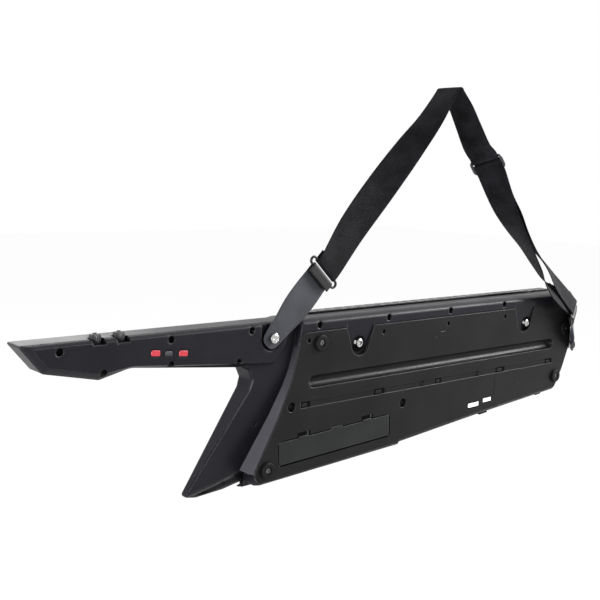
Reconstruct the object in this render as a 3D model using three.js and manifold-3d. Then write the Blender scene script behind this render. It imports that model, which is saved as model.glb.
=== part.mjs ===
// A keytar: a long keyboard instrument that is worn on a shoulder strap and played standing.
// It is shown hanging from its strap, with the rear side towards -Y and the keys towards +Y.
// Units are millimetres. X runs along the keys, with the neck at -X, and +Z is up.
// The origin is the fold at the top of the strap, where a shoulder or a hook holds the instrument.

import * as THREE from 'three';
import { mergeVertices } from 'three/addons/utils/BufferGeometryUtils.js';
import Module from 'manifold-3d';

// Keyboard
const KEY_PITCH = 22.87;
const NATURAL_COUNT = 29;
const KEY_GAP = 0.6;
const KEY_LIP_THICKNESS = 2.2;
const KEY_LIP_OVERHANG = 1;
const KEY_LENGTH = 146;
const KEY_HEAD_LENGTH = 48;
const KEY_PLATE_THICKNESS = 7;
const SHARP_RISE = 11;
const SHARP_WIDTH = 10.7;
const KEY_CORNER = 1.6;
const KEY_TAIL_LENGTH = 24;
const HINGE_STRIP = 6;
const HINGE_LAYER = 1.6;

// Body and neck, seen from behind
const PANEL_DROP = 112;
const PANEL_ROW_DROP = 26.8;
const BODY_DROP = KEY_LENGTH + PANEL_DROP;
const NECK_REACH = 473;
const NECK_DROP = 62;

// Depths of the body's faces, measured from the rear cover's outer face towards the keys
const RIM_LEVEL = 0.8;
const COVER_THICKNESS = 2.5;
const SHOULDER_LEVEL = 3.5;
const NECK_LEVEL = 5;
const VALLEY_LEVEL = 12;
const PARTING_LEVEL = 14;
const HORN_LEVEL = 37;
const WALL_LEVEL = 43;
const LIP_LEVEL = 45;
const NECK_FRONT = 50;
const BODY_FRONT = 62;
const KEY_TOP_LEVEL = 63;

// Walls, gaps and edges
const WALL = 3;
const SEAT_GAP = 0.3;
const PARTING_GAP = 0.5;
const HORN_SKIN = 4;
const SLIDE_GAP = 0.5;
const FRONT_BEVEL = 3;
const OVERRUN = 2;

// Sides of round shapes, and steps of their corners
const SIDE_COUNT = 20;
const MIDDLE_SIDE_COUNT = 16;
const SMALL_SIDE_COUNT = 12;
const WIRE_SIDE_COUNT = 8;
const TURN_STEP_COUNT = 8;

// Rear cover details
const GROOVE_RADIUS = 10;
const GROOVE_WALL = 2.2;
const SLOT_HEIGHT = 10;
const SLOT_DEPTH = 1.5;
const CUT_HALF_TOP = 29.5;
const CUT_HALF_BOTTOM = 14.7;
const CUT_DEPTH = 46.8;
const CUT_RADIUS = 17;
const CUT_FLOOR_LEVEL = 6;
const COVER_TOP = 20;
const SCREW_RECESS_RADIUS = 7.9;
const PEG_HOLE_RADIUS = 4;
const EDGE_HOLE_RADIUS = 5.5;
const EDGE_HOLE_DROP = 10;
const EDGE_HOLE_DEPTH = 8;
const PEG_HOLE_DROP = 32.7;
const NECK_HOLE_RADIUS = 5.3;
const NECK_HOLE_DEPTH = 6;

// Feet
const FOOT_RADIUS = 12.5;
const FOOT_HEIGHT = 5;
const FOOT_TAPER = 1.2;
const FOOT_RECESS_RADIUS = 5.6;
const FOOT_RECESS_DEPTH = 2.6;

// Battery compartment
const BATTERY_LENGTH = 236.9;
const BATTERY_HEIGHT = 36;
const BATTERY_TILT = 0.042;
const BATTERY_GAP = 0.8;
const BATTERY_DEPTH = 18;
const BATTERY_WALL = 1.6;
const LATCH_WIDTH = 22;
const LATCH_REACH = 3.4;
const CELL_RADIUS = 7.1;
const CELL_LENGTH = 50.5;
const CELL_NUB_RADIUS = 2.7;
const CELL_NUB_LENGTH = 1.4;
const CELLS_IN_ROW = 4;

// Neck controls
const NECK_BUTTON_WIDTH = 14;
const NECK_BUTTON_HEIGHT = 8;
const SMALL_BUTTON_WIDTH = 11;
const SMALL_BUTTON_HEIGHT = 6;
const NECK_BUTTON_PROUD = 1.4;
const NECK_BUTTON_DEPTH = 6;
const NECK_KNOB_RADIUS = 8;
const NECK_KNOB_RISE = 8.5;
const NECK_KNOB_SINK = 6;
const NECK_KNOB_LEVEL = 20;
const NECK_KNOB_POCKET = 9.5;
const BAR_LENGTH = 150;
const BAR_WIDTH = 12;
const BAR_THICKNESS = 7;
const BAR_PROUD = 4;
const RIBBON_LENGTH = 170;
const RIBBON_WIDTH = 14;
const RIBBON_THICKNESS = 1;
const BEAM_WIDTH = 34;
const BEAM_HEIGHT = 20;

// Front panel controls
const DISPLAY_WIDTH = 74;
const DISPLAY_HEIGHT = 20;
const WINDOW_THICKNESS = 1.6;
const VALUE_KNOB_RADIUS = 10;
const VALUE_KNOB_HEIGHT = 13;
const PANEL_BUTTON_WIDTH = 13;
const PANEL_BUTTON_HEIGHT = 7;
const PANEL_BUTTON_PROUD = 1.6;
const TONE_BUTTON_COUNT = 8;
const TONE_BUTTON_PITCH = 19;

// Jack panel in the lower wall
const JACK_PANEL_LENGTH = 190;
const JACK_PANEL_DEPTH = 20;
const JACK_PANEL_THICKNESS = 14;
const JACK_RADIUS = 3.3;
const SMALL_JACK_RADIUS = 2.8;
const ROUND_SOCKET_RADIUS = 6.6;
const SOCKET_DEPTH = 11;
const SWITCH_LENGTH = 9;
const SWITCH_WIDTH = 5;
const SWITCH_TRAVEL = 4;

// Strap
const WEB_WIDTH = 50;
const WEB_THICKNESS = 1.6;
const LEATHER_THICKNESS = 2.6;
const TAB_BOW = 5;
const WIRE_RADIUS = 2;
const RING_DEPTH = 11;
const RING_WIDTH = 56;
const STRAP_RISE = 393;
const STRAP_LEVEL = 12;
const STRAP_FOLD_RADIUS = 7;
const SLIDER_WIDTH = 60;
const SLIDER_HEIGHT = 30;
const SLIDER_THICKNESS = 3;
const SLIDER_BAR = 4;
const PIN_FLANGE_RADIUS = 8;
const PIN_NECK_RADIUS = 4.4;
const PIN_HEAD_RADIUS = 7.3;
const PIN_FLANGE_HEIGHT = 2;
const PIN_HEAD_HEIGHT = 3.5;
const PIN_REACH = 12;
const PIN_RECESS_RADIUS = 20;
const PIN_RECESS_LEVEL = 9;

// Worked out from the sizes above
const KEY_RUN = KEY_PITCH * NATURAL_COUNT;
const BODY_END_SHARE = 1.051;
const SHOULDER_X_SHARE = (SHOULDER_LEVEL - RIM_LEVEL) / (PARTING_LEVEL - RIM_LEVEL);
const LEFT_PIN_X_SHARE = -0.173;
const LEFT_PIN_Z_SHARE = -0.363;
const RIGHT_PIN_Z_SHARE = 0.4186;
const MATERIALS = {
  shell: [0x2b2b31, 0.55, 0],
  cover: [0x2c2d2d, 0.6, 0],
  rubber: [0x1d1d1e, 0.9, 0],
  natural: [0x1a1a1c, 0.35, 0],
  sharp: [0xdcdad3, 0.35, 0],
  black: [0x131315, 0.3, 0],
  red: [0xc8323c, 0.45, 0],
  grey: [0x3a3a3e, 0.5, 0],
  metal: [0xc9cbcd, 0.3, 1],
  darkMetal: [0x4b4c50, 0.35, 1],
  leather: [0x2a2a2c, 0.6, 0],
  webbing: [0x141415, 0.95, 0],
  window: [0x101418, 0.1, 0],
  board: [0x1f5c38, 0.6, 0],
  cell: [0x8a8d90, 0.4, 0.6],
};

const wasm = await Module();
wasm.setup();

// Closed meshes become solids that can be joined and cut, and turn back into geometry.
function solid(geometry) {
  const bare = geometry.clone();
  bare.deleteAttribute('normal');
  bare.deleteAttribute('uv');
  const merged = mergeVertices(bare, OVERRUN / 1e4);
  const vertProperties = new Float32Array(merged.attributes.position.array);
  const triVerts = new Uint32Array(merged.index.array);
  return new wasm.Manifold(new wasm.Mesh({ numProp: 3, vertProperties, triVerts }));
}

function toGeometry(body) {
  const mesh = body.getMesh();
  const geometry = new THREE.BufferGeometry();
  geometry.setAttribute('position', new THREE.BufferAttribute(new Float32Array(mesh.vertProperties), 3));
  geometry.setIndex(new THREE.BufferAttribute(new Uint32Array(mesh.triVerts), 1));
  geometry.computeVertexNormals();
  return geometry;
}

// An outline is a list of corners [x, z, radius]; each corner becomes a short arc.
function rounded(corners, steps = 3) {
  const points = [];
  corners.forEach(([x, z, radius], i) => {
    const before = corners[(i + corners.length - 1) % corners.length];
    const after = corners[(i + 1) % corners.length];
    const corner = new THREE.Vector2(x, z);
    if (!radius) {
      points.push(corner);
      return;
    }
    const back = new THREE.Vector2(before[0] - x, before[1] - z).normalize();
    const ahead = new THREE.Vector2(after[0] - x, after[1] - z).normalize();
    const half = Math.acos(THREE.MathUtils.clamp(back.dot(ahead), -1, 1)) / 2;
    const run = radius / Math.tan(half);
    const start = corner.clone().addScaledVector(back, run);
    const end = corner.clone().addScaledVector(ahead, run);
    const curve = new THREE.QuadraticBezierCurve(start, corner, end);
    const pull = Math.sin(half);
    for (let step = 0; step <= steps; step += 1) {
      const t = step / steps;
      const weight = 2 * t * (1 - t) * pull;
      const total = (1 - t) ** 2 + weight + t ** 2;
      const point = curve.v0.clone().multiplyScalar((1 - t) ** 2);
      point.addScaledVector(curve.v1, weight).addScaledVector(curve.v2, t ** 2);
      points.push(point.divideScalar(total));
    }
  });
  return points;
}

// Moves every side of an outline inwards by one distance; its turning sense decides which way.
function inset(corners, distance) {
  const area = corners.reduce((sum, [x, z], i) => {
    const next = corners[(i + 1) % corners.length];
    return sum + x * next[1] - next[0] * z;
  }, 0);
  const side = Math.sign(area) * distance;
  return corners.map(([x, z, radius], i) => {
    const before = corners[(i + corners.length - 1) % corners.length];
    const after = corners[(i + 1) % corners.length];
    const into = new THREE.Vector2(x - before[0], z - before[1]).normalize();
    const out = new THREE.Vector2(after[0] - x, after[1] - z).normalize();
    const mitre = new THREE.Vector2(-into.y - out.y, into.x + out.x);
    const scale = 2 * side / mitre.lengthSq();
    const turn = Math.sign(into.cross(out)) * side;
    const newRadius = radius ? Math.max(radius - turn, radius / 4) : 0;
    return [x + mitre.x * scale, z + mitre.y * scale, newRadius];
  });
}

function mix(first, second, share) {
  return first.map((corner, i) => corner.map((value, j) => value + (second[i][j] - value) * share));
}

// Joins rings of points into one closed skin, with both ends closed by the given cap triangles.
// Matched rings have the diagonals of their second half turned to lie over those of the first.
function skin(rings, capFaces, closed = false, matched = false) {
  const size = rings[0].length;
  const positions = rings.flat().flatMap((point) => [point.x, point.y, point.z]);
  const faces = [];
  const last = closed ? rings.length : rings.length - 1;
  for (let ring = 0; ring < last; ring += 1) {
    const next = (ring + 1) % rings.length;
    for (let i = 0; i < size; i += 1) {
      const j = (i + 1) % size;
      const a = ring * size;
      const b = next * size;
      if (matched && i >= size / 2) {
        faces.push([a + i, a + j, b + i], [a + j, b + j, b + i]);
      } else {
        faces.push([a + i, a + j, b + j], [a + i, b + j, b + i]);
      }
    }
  }
  if (!closed) {
    const shift = (rings.length - 1) * size;
    capFaces.forEach(([a, b, c]) => faces.push([c, b, a], [a + shift, b + shift, c + shift]));
  }
  let volume = 0;
  const corner = (i) => new THREE.Vector3().fromArray(positions, 3 * i);
  faces.forEach(([a, b, c]) => {
    volume += corner(a).dot(corner(b).cross(corner(c)));
  });
  const ordered = volume < 0 ? faces.map(([a, b, c]) => [a, c, b]) : faces;
  const geometry = new THREE.BufferGeometry();
  geometry.setAttribute('position', new THREE.Float32BufferAttribute(positions, 3));
  geometry.setIndex(ordered.flat());
  return solid(geometry);
}

// A loft through outlines at several depths; each outline has the same number of corners.
function loft(outlines, levels, steps = 3) {
  const flat = outlines.map((corners) => rounded(corners, steps));
  const cap = THREE.ShapeUtils.isClockWise(flat[0]) ? flat[0].slice().reverse() : flat[0];
  const count = flat[0].length;
  const reversed = cap !== flat[0];
  const faces = THREE.ShapeUtils.triangulateShape(cap, []);
  const capFaces = faces.map((face) => face.map((i) => (reversed ? count - 1 - i : i)));
  const oriented = reversed ? capFaces.map(([a, b, c]) => [c, b, a]) : capFaces;
  const rings = flat.map((points, i) => points.map((p) => new THREE.Vector3(p.x, levels[i], p.y)));
  return skin(rings, oriented);
}

function prism(corners, low, high, steps = 3) {
  return loft([corners, corners], [low, high], steps);
}

const rearward = new THREE.Vector3(0, -1, 0);
const forward = new THREE.Vector3(0, 1, 0);
const upward = new THREE.Vector3(0, 0, 1);

// A prism along X from a profile of [depth, height] points.
function bar(profile, left, right) {
  const shape = new THREE.Shape(profile.map(([y, z]) => new THREE.Vector2(y, z)));
  const geometry = new THREE.ExtrudeGeometry(shape, { depth: right - left, bevelEnabled: false });
  const turn = new THREE.Matrix4().makeBasis(forward, upward, new THREE.Vector3(1, 0, 0));
  geometry.applyMatrix4(turn);
  geometry.translate(left, 0, 0);
  return solid(geometry);
}

function block([x0, x1], [y0, y1], [z0, z1]) {
  const geometry = new THREE.BoxGeometry(x1 - x0, y1 - y0, z1 - z0);
  geometry.translate((x0 + x1) / 2, (y0 + y1) / 2, (z0 + z1) / 2);
  return solid(geometry);
}

// A turned piece: its profile is [radius, height] points, its axis starts at a point along a direction.
function turned(profile, start, direction, sides = SIDE_COUNT) {
  const points = profile.map(([radius, height]) => new THREE.Vector2(radius, height));
  const geometry = new THREE.LatheGeometry(points, sides);
  geometry.applyQuaternion(new THREE.Quaternion().setFromUnitVectors(forward, direction));
  geometry.translate(start.x, start.y, start.z);
  return solid(geometry);
}

function rod(start, end, radius, sides = SIDE_COUNT) {
  const along = end.clone().sub(start);
  const length = along.length();
  return turned([[0, 0], [radius, 0], [radius, length], [0, length]], start, along.normalize(), sides);
}

// A hole or post square to the rear cover.
function post(x, z, radius, low, high, sides = SIDE_COUNT) {
  return rod(new THREE.Vector3(x, low, z), new THREE.Vector3(x, high, z), radius, sides);
}

function joined(bodies) {
  return bodies.reduce((sum, body) => sum.add(body));
}

function cut(body, cutters) {
  return cutters.reduce((rest, cutter) => rest.subtract(cutter), body);
}

function unit(a, b) {
  return b.clone().sub(a).normalize();
}
function square(across, along) {
  return across.clone().addScaledVector(along, -across.dot(along)).normalize();
}

// More stations between those that lie far apart, on one smooth curve through all of them.
function finer(stations, reach) {
  const curve = new THREE.CatmullRomCurve3(stations.map(({ centre }) => centre));
  return stations.flatMap((station, i) => {
    const next = stations[i + 1];
    if (!next) {
      return [station];
    }
    const pieces = Math.ceil(station.centre.distanceTo(next.centre) / reach);
    return Array.from({ length: pieces }, (_, piece) => {
      const share = piece / pieces;
      return {
        centre: curve.getPoint((i + share) / (stations.length - 1)),
        across: station.across.clone().lerp(next.across, share).normalize(),
        half: THREE.MathUtils.lerp(station.half, next.half, share),
      };
    });
  });
}

// A flat strip through stations, each with a centre, the direction of its width and its half width.
// Both faces are split along the same diagonals, so a twisted stretch keeps its thickness.
function strip(stations, thickness) {
  const rings = stations.map((station, i) => {
    const before = stations[Math.max(i - 1, 0)].centre;
    const after = stations[Math.min(i + 1, stations.length - 1)].centre;
    const along = unit(before, after);
    const across = square(station.across, along);
    const normal = along.clone().cross(across).multiplyScalar(thickness / 2);
    const wide = across.multiplyScalar(station.half);
    return [
      station.centre.clone().add(wide).add(normal),
      station.centre.clone().sub(wide).add(normal),
      station.centre.clone().sub(wide).sub(normal),
      station.centre.clone().add(wide).sub(normal),
    ];
  });
  return skin(rings, [[0, 1, 2], [0, 2, 3]], false, true);
}

const part = new THREE.Group();
const model = new THREE.Group();
part.add(model);

function add(name, body, finish) {
  const [color, roughness, metalness] = MATERIALS[finish];
  const material = new THREE.MeshStandardMaterial({ color, roughness, metalness });
  const mesh = new THREE.Mesh(toGeometry(body), material);
  mesh.name = name;
  model.add(mesh);
}

// Places on the body are shares of the key run and of the body's drop.
function spot(xShare, zShare) {
  return [xShare * KEY_RUN, -zShare * BODY_DROP];
}

function bodyCorners(shares) {
  return shares.map(([x, z, radius]) => [...spot(x, z), radius * BODY_DROP]);
}

function neckCorners(shares) {
  return shares.map(([x, z, radius]) => [x * NECK_REACH, z * NECK_DROP, radius * NECK_DROP]);
}

// Outlines, seen from behind. Neck corners are shares of its reach and its own drop.
const neckOuterShares = [
  [-1, 0.024, 0.03],
  [-0.932, -0.597, 0.1],
  [-0.767, -0.871, 0.16],
  [-0.668, -0.694, 0.65],
];
const hornShares = [
  [-0.137, 0.262, 0.095],
  [-0.318, 0.983, 0.016],
  [-0.281, 1.004, 0.016],
  [-0.121, 0.996, 0.12],
];
const lowerEdgeShares = [
  [0.302, 0.903, 0.25],
  [0.973, 0.76, 0.047],
  [1.025, 0.601, 0.116],
  [BODY_END_SHARE, 0.426, 0.116],
  [BODY_END_SHARE, 0, 0.012],
];
const bodyOutline = [
  ...neckCorners(neckOuterShares),
  ...bodyCorners([...hornShares, ...lowerEdgeShares, [-0.039, 0, 0.08]]),
];

const raisedRearShares = [
  [-0.04, 0.0213, 0.012],
  [-0.0483, 0.155, 0.23],
  [-0.0724, 0.376, 0.58],
  [-0.1056, 0.566, 0.77],
  [-0.1877, 0.948, 0.054],
  [0.297, 0.886, 0],
  [0.2985, 0.869, 0],
  [0.603, 0.801, 0.155],
  [0.9673, 0.7306, 0.035],
  [1.0005, 0.591, 0.155],
  [1.0321, 0.403, 0.155],
  [1.0321, 0.0213, 0.016],
];
const raisedFootShares = [
  [-0.0415, 0, 0.031],
  [-0.0498, 0.155, 0.23],
  [-0.0739, 0.376, 0.58],
  [-0.107, 0.566, 0.77],
  [-0.1915, 0.969, 0.054],
  [0.297, 0.915, 0],
  [0.2985, 0.903, 0],
  [0.603, 0.833, 0.155],
  [0.9725, 0.76, 0.047],
  [1.025, 0.601, 0.116],
  [BODY_END_SHARE, 0.426, 0.116],
  [BODY_END_SHARE, 0, 0.016],
];

// The rear cover's own outline, with its two flared cuts in the top edge.
const cutCentreShares = [0.1455, 0.7976];
function coverCut(centreShare) {
  const centre = centreShare * KEY_RUN;
  const edge = CUT_RADIUS / 4;
  return [
    [centre + CUT_HALF_TOP, -COVER_TOP, edge],
    [centre + CUT_HALF_BOTTOM, -COVER_TOP - CUT_DEPTH, CUT_RADIUS],
    [centre - CUT_HALF_BOTTOM, -COVER_TOP - CUT_DEPTH, CUT_RADIUS],
    [centre - CUT_HALF_TOP, -COVER_TOP, edge],
  ];
}
const coverLeftShares = [
  [-0.0468, 0.0775, 0.054],
  [-0.0468, 0.155, 0.2],
  [-0.0702, 0.376, 0.58],
  [-0.1033, 0.566, 0.77],
  [-0.184, 0.942, 0.05],
];
const coverRestShares = [
  [0.2955, 0.88, 0],
  [0.297, 0.863, 0],
  [0.603, 0.795, 0.155],
  [0.965, 0.7248, 0.031],
  [0.998, 0.589, 0.155],
  [1.0299, 0.403, 0.155],
  [1.0299, 0.0775, 0.02],
];
const coverOutline = [
  ...bodyCorners([...coverLeftShares, ...coverRestShares]),
  ...coverCut(cutCentreShares[1]),
  ...coverCut(cutCentreShares[0]),
];

// The horn's rear face leans forward as it goes down, and the parting line follows in front of it.
const VALLEY_SHARE = 0.287;
const HORN_END_SHARE = 0.95;
function hornLevel(share) {
  const lean = (share - VALLEY_SHARE) / (HORN_END_SHARE - VALLEY_SHARE);
  return VALLEY_LEVEL + Math.max(lean, 0) * (HORN_LEVEL - VALLEY_LEVEL);
}
const partingShares = [0.225, 0.368, 1.1];
function partingProfile(shift, side) {
  const top = NECK_DROP;
  const line = [
    [PARTING_LEVEL + shift, top],
    [PARTING_LEVEL + shift, -partingShares[0] * BODY_DROP],
    [hornLevel(partingShares[1]) + HORN_SKIN + shift, -partingShares[1] * BODY_DROP],
    [hornLevel(partingShares[2]) + HORN_SKIN + shift, -partingShares[2] * BODY_DROP],
  ];
  const far = side * BODY_FRONT * 2;
  return [...line, [far, -partingShares[2] * BODY_DROP], [far, top]];
}
const span = [-NECK_REACH - OVERRUN, KEY_RUN * (BODY_END_SHARE + 1)];
const rearHalf = bar(partingProfile(-PARTING_GAP / 2, -1).reverse(), ...span);
const frontHalf = bar(partingProfile(PARTING_GAP / 2, 1), ...span);

// The lower end of the horn is bevelled on its rear side.
const bevelShares = { left: [-0.32, 0.975], right: [-0.155, 0.872], width: 0.12, depth: 0.035 };
const hornBevel = skin(
  [bevelShares.left, bevelShares.right].map(([xShare, zShare]) => {
    const [x, z] = spot(xShare, zShare);
    const level = hornLevel(zShare);
    const low = z - bevelShares.width * BODY_DROP;
    return [
      new THREE.Vector3(x, level, z),
      new THREE.Vector3(x, -BODY_FRONT, z),
      new THREE.Vector3(x, -BODY_FRONT, low),
      new THREE.Vector3(x, level + 2 * bevelShares.depth * BODY_DROP, low),
    ];
  }),
  [[0, 1, 2], [0, 2, 3]],
);

// Holes and pockets that both shells share
const leftPin = new THREE.Vector3(
  LEFT_PIN_X_SHARE * NECK_REACH,
  PIN_RECESS_LEVEL,
  LEFT_PIN_Z_SHARE * NECK_DROP,
);
const knobShares = [-0.772, -0.698];
const knobSpots = knobShares.map((share) => new THREE.Vector3(share * NECK_REACH, NECK_KNOB_LEVEL, 0));
const knobPockets = knobSpots.map((at) => {
  const floor = at.clone().setZ(-NECK_KNOB_SINK);
  const top = at.clone().setZ(NECK_KNOB_RISE);
  const round = rod(floor, top, NECK_KNOB_POCKET);
  const wide = [at.x - NECK_KNOB_POCKET, at.x + NECK_KNOB_POCKET];
  return round.add(block(wide, [0, NECK_KNOB_LEVEL], [-NECK_KNOB_SINK, NECK_KNOB_RISE]));
});
const knobBosses = knobSpots.map((at) => {
  const floor = at.clone().setZ(-NECK_KNOB_SINK - WALL);
  return rod(floor, at.clone().setZ(NECK_KNOB_RISE), NECK_KNOB_POCKET + WALL);
});

// Battery compartment, tilted a little like the lower edge
const batteryCentre = spot(0.079, 0.77);
function tilted([cx, cz], [along, up], angle) {
  const [cos, sin] = [Math.cos(angle), Math.sin(angle)];
  return [cx + along * cos - up * sin, cz + along * sin + up * cos];
}
function batteryCorners(grow, radius) {
  const halfLength = BATTERY_LENGTH / 2 + grow;
  const halfHeight = BATTERY_HEIGHT / 2 + grow;
  const ends = [[-1, 1], [-1, -1], [1, -1], [1, 1]];
  return ends.map(([i, j]) => [
    ...tilted(batteryCentre, [i * halfLength, j * halfHeight], BATTERY_TILT),
    radius,
  ]);
}
const latchShares = [-0.296, 0.28];
function latchCorners(share, grow) {
  const centre = share * BATTERY_LENGTH;
  const half = LATCH_WIDTH / 2 + grow;
  const top = BATTERY_HEIGHT / 2 + LATCH_REACH + grow;
  const foot = BATTERY_HEIGHT / 2 - LATCH_REACH;
  const ends = [[-half, top], [-half, foot], [half, foot], [half, top]];
  return ends.map((end) => [...tilted(batteryCentre, end, BATTERY_TILT), 0]);
}
const caseLevel = COVER_THICKNESS + SEAT_GAP;
const caseFloor = caseLevel + BATTERY_DEPTH;

// Small places on the rear, as shares of the key run and the drop
const edgeHoleShares = [0.0136, 0.2428, 0.4742, 0.7019];
const pegHoleShares = [-0.0191, 0.2241, 0.4659, 0.7072];
const screwShares = [[-0.0663, 0.5143], [0.3046, 0.6202]];
const footShares = [[0.0166, 0.1473], [-0.1342, 0.8682], [0.9635, 0.6395], [0.9952, 0.2713]];
const grooveShares = { left: -0.0166, right: 0.9424, drop: 0.3798 };
const slotShares = { left: -0.0392, right: 0.9439, drop: 0.5136 };
const neckHoleShares = [[-0.8916, -0.1565], [-0.545, -0.1435], [-0.2524, -0.1339]];
const lowerHoleShares = [[-0.7605, -0.71], [-0.5431, -0.71], [-0.2996, -0.86]];
const hornHoleShares = [[-0.1463, 0.6085], [-0.2141, 0.952]];
const neckButtonShares = [
  { x: -0.5979, z: -0.4032, width: NECK_BUTTON_WIDTH, height: NECK_BUTTON_HEIGHT },
  { x: -0.5539, z: -0.4435, width: SMALL_BUTTON_WIDTH, height: SMALL_BUTTON_HEIGHT },
  { x: -0.5038, z: -0.479, width: NECK_BUTTON_WIDTH, height: NECK_BUTTON_HEIGHT },
];
const NECK_BUTTON_TILT = -0.105;
function neckButtonCorners(button, grow) {
  const centre = [button.x * NECK_REACH, button.z * NECK_DROP];
  const [half, high] = [button.width / 2 + grow, button.height / 2 + grow];
  const ends = [[-half, high], [-half, -high], [half, -high], [half, high]];
  return ends.map((end) => [...tilted(centre, end, NECK_BUTTON_TILT), high / 2]);
}

function troughProfile(radius, low) {
  const points = [];
  const steps = 12;
  const drop = grooveShares.drop * BODY_DROP;
  for (let step = 0; step <= steps; step += 1) {
    const angle = Math.PI * step / steps;
    points.push([radius * Math.sin(angle), -drop - radius * Math.cos(angle)]);
  }
  return [...points, [low, -drop + radius], [low, -drop - radius]];
}
function trough(radius, low) {
  const left = grooveShares.left * KEY_RUN + GROOVE_RADIUS;
  const right = grooveShares.right * KEY_RUN - GROOVE_RADIUS;
  const z = -grooveShares.drop * BODY_DROP;
  const middle = bar(troughProfile(radius, low), left, right);
  const ends = [left, right].map((x) => {
    const steps = 5;
    const profile = [[0, radius]];
    for (let step = 1; step <= steps; step += 1) {
      const angle = Math.PI / 2 * (1 - step / steps);
      profile.push([radius * Math.cos(angle), radius * Math.sin(angle)]);
    }
    profile.push([radius, low], [0, low]);
    return turned(profile.reverse(), new THREE.Vector3(x, 0, z), forward, MIDDLE_SIDE_COUNT);
  });
  return joined([middle, ...ends]);
}

function rearShell() {
  const shoulder = raisedRearShares.map(([x, z, radius], i) => {
    const [footX, footZ, footRadius] = raisedFootShares[i];
    return [x + (footX - x) * SHOULDER_X_SHARE, (z + footZ) / 2, (radius + footRadius) / 2];
  });
  const levels = [RIM_LEVEL, SHOULDER_LEVEL, PARTING_LEVEL, BODY_FRONT];
  const outlines = [raisedRearShares, shoulder, raisedFootShares, raisedFootShares];
  const raised = loft(outlines.map(bodyCorners), levels);
  const neckInner = neckCorners([
    [-0.97, -0.05, 0.03],
    [-0.924, -0.452, 0.07],
    [-0.77, -0.716, 0.13],
    [-0.668, -0.623, 0.65],
    [-0.161, -0.98, 0.23],
    [-0.118, -0.581, 0.32],
    [-0.106, -0.052, 0.06],
  ]);
  const neckOuter = neckCorners([
    ...neckOuterShares,
    [-0.152, -1.06, 0.29],
    [-0.097, -0.61, 0.32],
    [-0.089, 0.002, 0.06],
  ]);
  const neck = loft([neckInner, neckOuter, neckOuter], [NECK_LEVEL, PARTING_LEVEL, BODY_FRONT]);
  const front = [BODY_FRONT, -OVERRUN];
  const hornFace = bar([
    [VALLEY_LEVEL, OVERRUN],
    [VALLEY_LEVEL, -VALLEY_SHARE * BODY_DROP],
    [hornLevel(partingShares[2]), -partingShares[2] * BODY_DROP],
    [BODY_FRONT, -partingShares[2] * BODY_DROP],
    [BODY_FRONT, OVERRUN],
  ], ...span);
  const valley = [-0.113 * KEY_RUN, -0.02 * KEY_RUN];
  const below = [-partingShares[2] * BODY_DROP, -0.235 * BODY_DROP];
  const hornReach = block(valley, [front[1], front[0]], [below[0], 0])
    .add(block([-NECK_REACH, valley[1]], [front[1], front[0]], below));
  const hornPlan = prism(inset(bodyOutline, PARTING_GAP), 0, BODY_FRONT);
  const horn = hornPlan.intersect(hornFace).intersect(hornReach);
  let shell = joined([raised, neck, horn]).intersect(rearHalf).subtract(hornBevel);
  const seat = prism(inset(coverOutline, -SEAT_GAP), -OVERRUN, COVER_THICKNESS + SEAT_GAP);
  const floorLevel = COVER_THICKNESS + SEAT_GAP + WALL;
  const keep = prism(batteryCorners(WALL + SEAT_GAP, 0), -OVERRUN, caseFloor + WALL);
  const hollow = prism(inset(coverOutline, 2 * WALL), floorLevel, BODY_FRONT).subtract(keep);
  const pinTop = [leftPin.x - PIN_RECESS_RADIUS, leftPin.x + PIN_RECESS_RADIUS];
  const recess = post(leftPin.x, leftPin.z, PIN_RECESS_RADIUS, -OVERRUN, PIN_RECESS_LEVEL)
    .add(block(pinTop, [-OVERRUN, PIN_RECESS_LEVEL], [leftPin.z, NECK_DROP / 2]));
  shell = cut(shell, [
    seat,
    hollow,
    recess,
    trough(GROOVE_RADIUS + GROOVE_WALL + SEAT_GAP, -OVERRUN),
    prism(batteryCorners(SEAT_GAP, 0), -OVERRUN, caseFloor + SEAT_GAP),
    ...knobPockets,
  ]);
  const holes = [
    ...edgeHoleShares.map((share) => post(share * KEY_RUN, -EDGE_HOLE_DROP, EDGE_HOLE_RADIUS, -OVERRUN,
      EDGE_HOLE_DEPTH, MIDDLE_SIDE_COUNT)),
    ...screwShares.map((at) => post(...spot(...at), SCREW_RECESS_RADIUS, -OVERRUN, floorLevel - WALL / 3)),
    ...[...neckHoleShares, ...lowerHoleShares].map(([x, z]) => post(x * NECK_REACH, z * NECK_DROP,
      NECK_HOLE_RADIUS, 0, NECK_LEVEL + NECK_HOLE_DEPTH, SMALL_SIDE_COUNT)),
    ...neckButtonShares.map((button) => prism(neckButtonCorners(button, SLIDE_GAP), 0, BODY_FRONT, 2)),
  ];
  const floors = cutCentreShares.map((share) => {
    const wedge = bar([
      [RIM_LEVEL, -COVER_TOP / 2],
      [CUT_FLOOR_LEVEL, -COVER_TOP - CUT_DEPTH],
      [-OVERRUN, -COVER_TOP - CUT_DEPTH],
      [-OVERRUN, -COVER_TOP / 2],
    ], 0, KEY_RUN);
    const shape = coverCut(share);
    const high = [[shape[3][0], 0, 0], [shape[0][0], 0, 0]];
    return prism([...high, ...shape.map(([x, z, radius], i) => (i % 3 ? [x, z, radius] : [x, z, 0]))],
      -OVERRUN, BODY_FRONT).intersect(wedge);
  });
  const hornHoles = hornHoleShares.map(([x, z]) => post(...spot(x, z), PEG_HOLE_RADIUS, 0,
    hornLevel(z) + HORN_SKIN / 2, SMALL_SIDE_COUNT));
  return cut(shell, [...holes, ...floors, ...hornHoles]);
}

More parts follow.
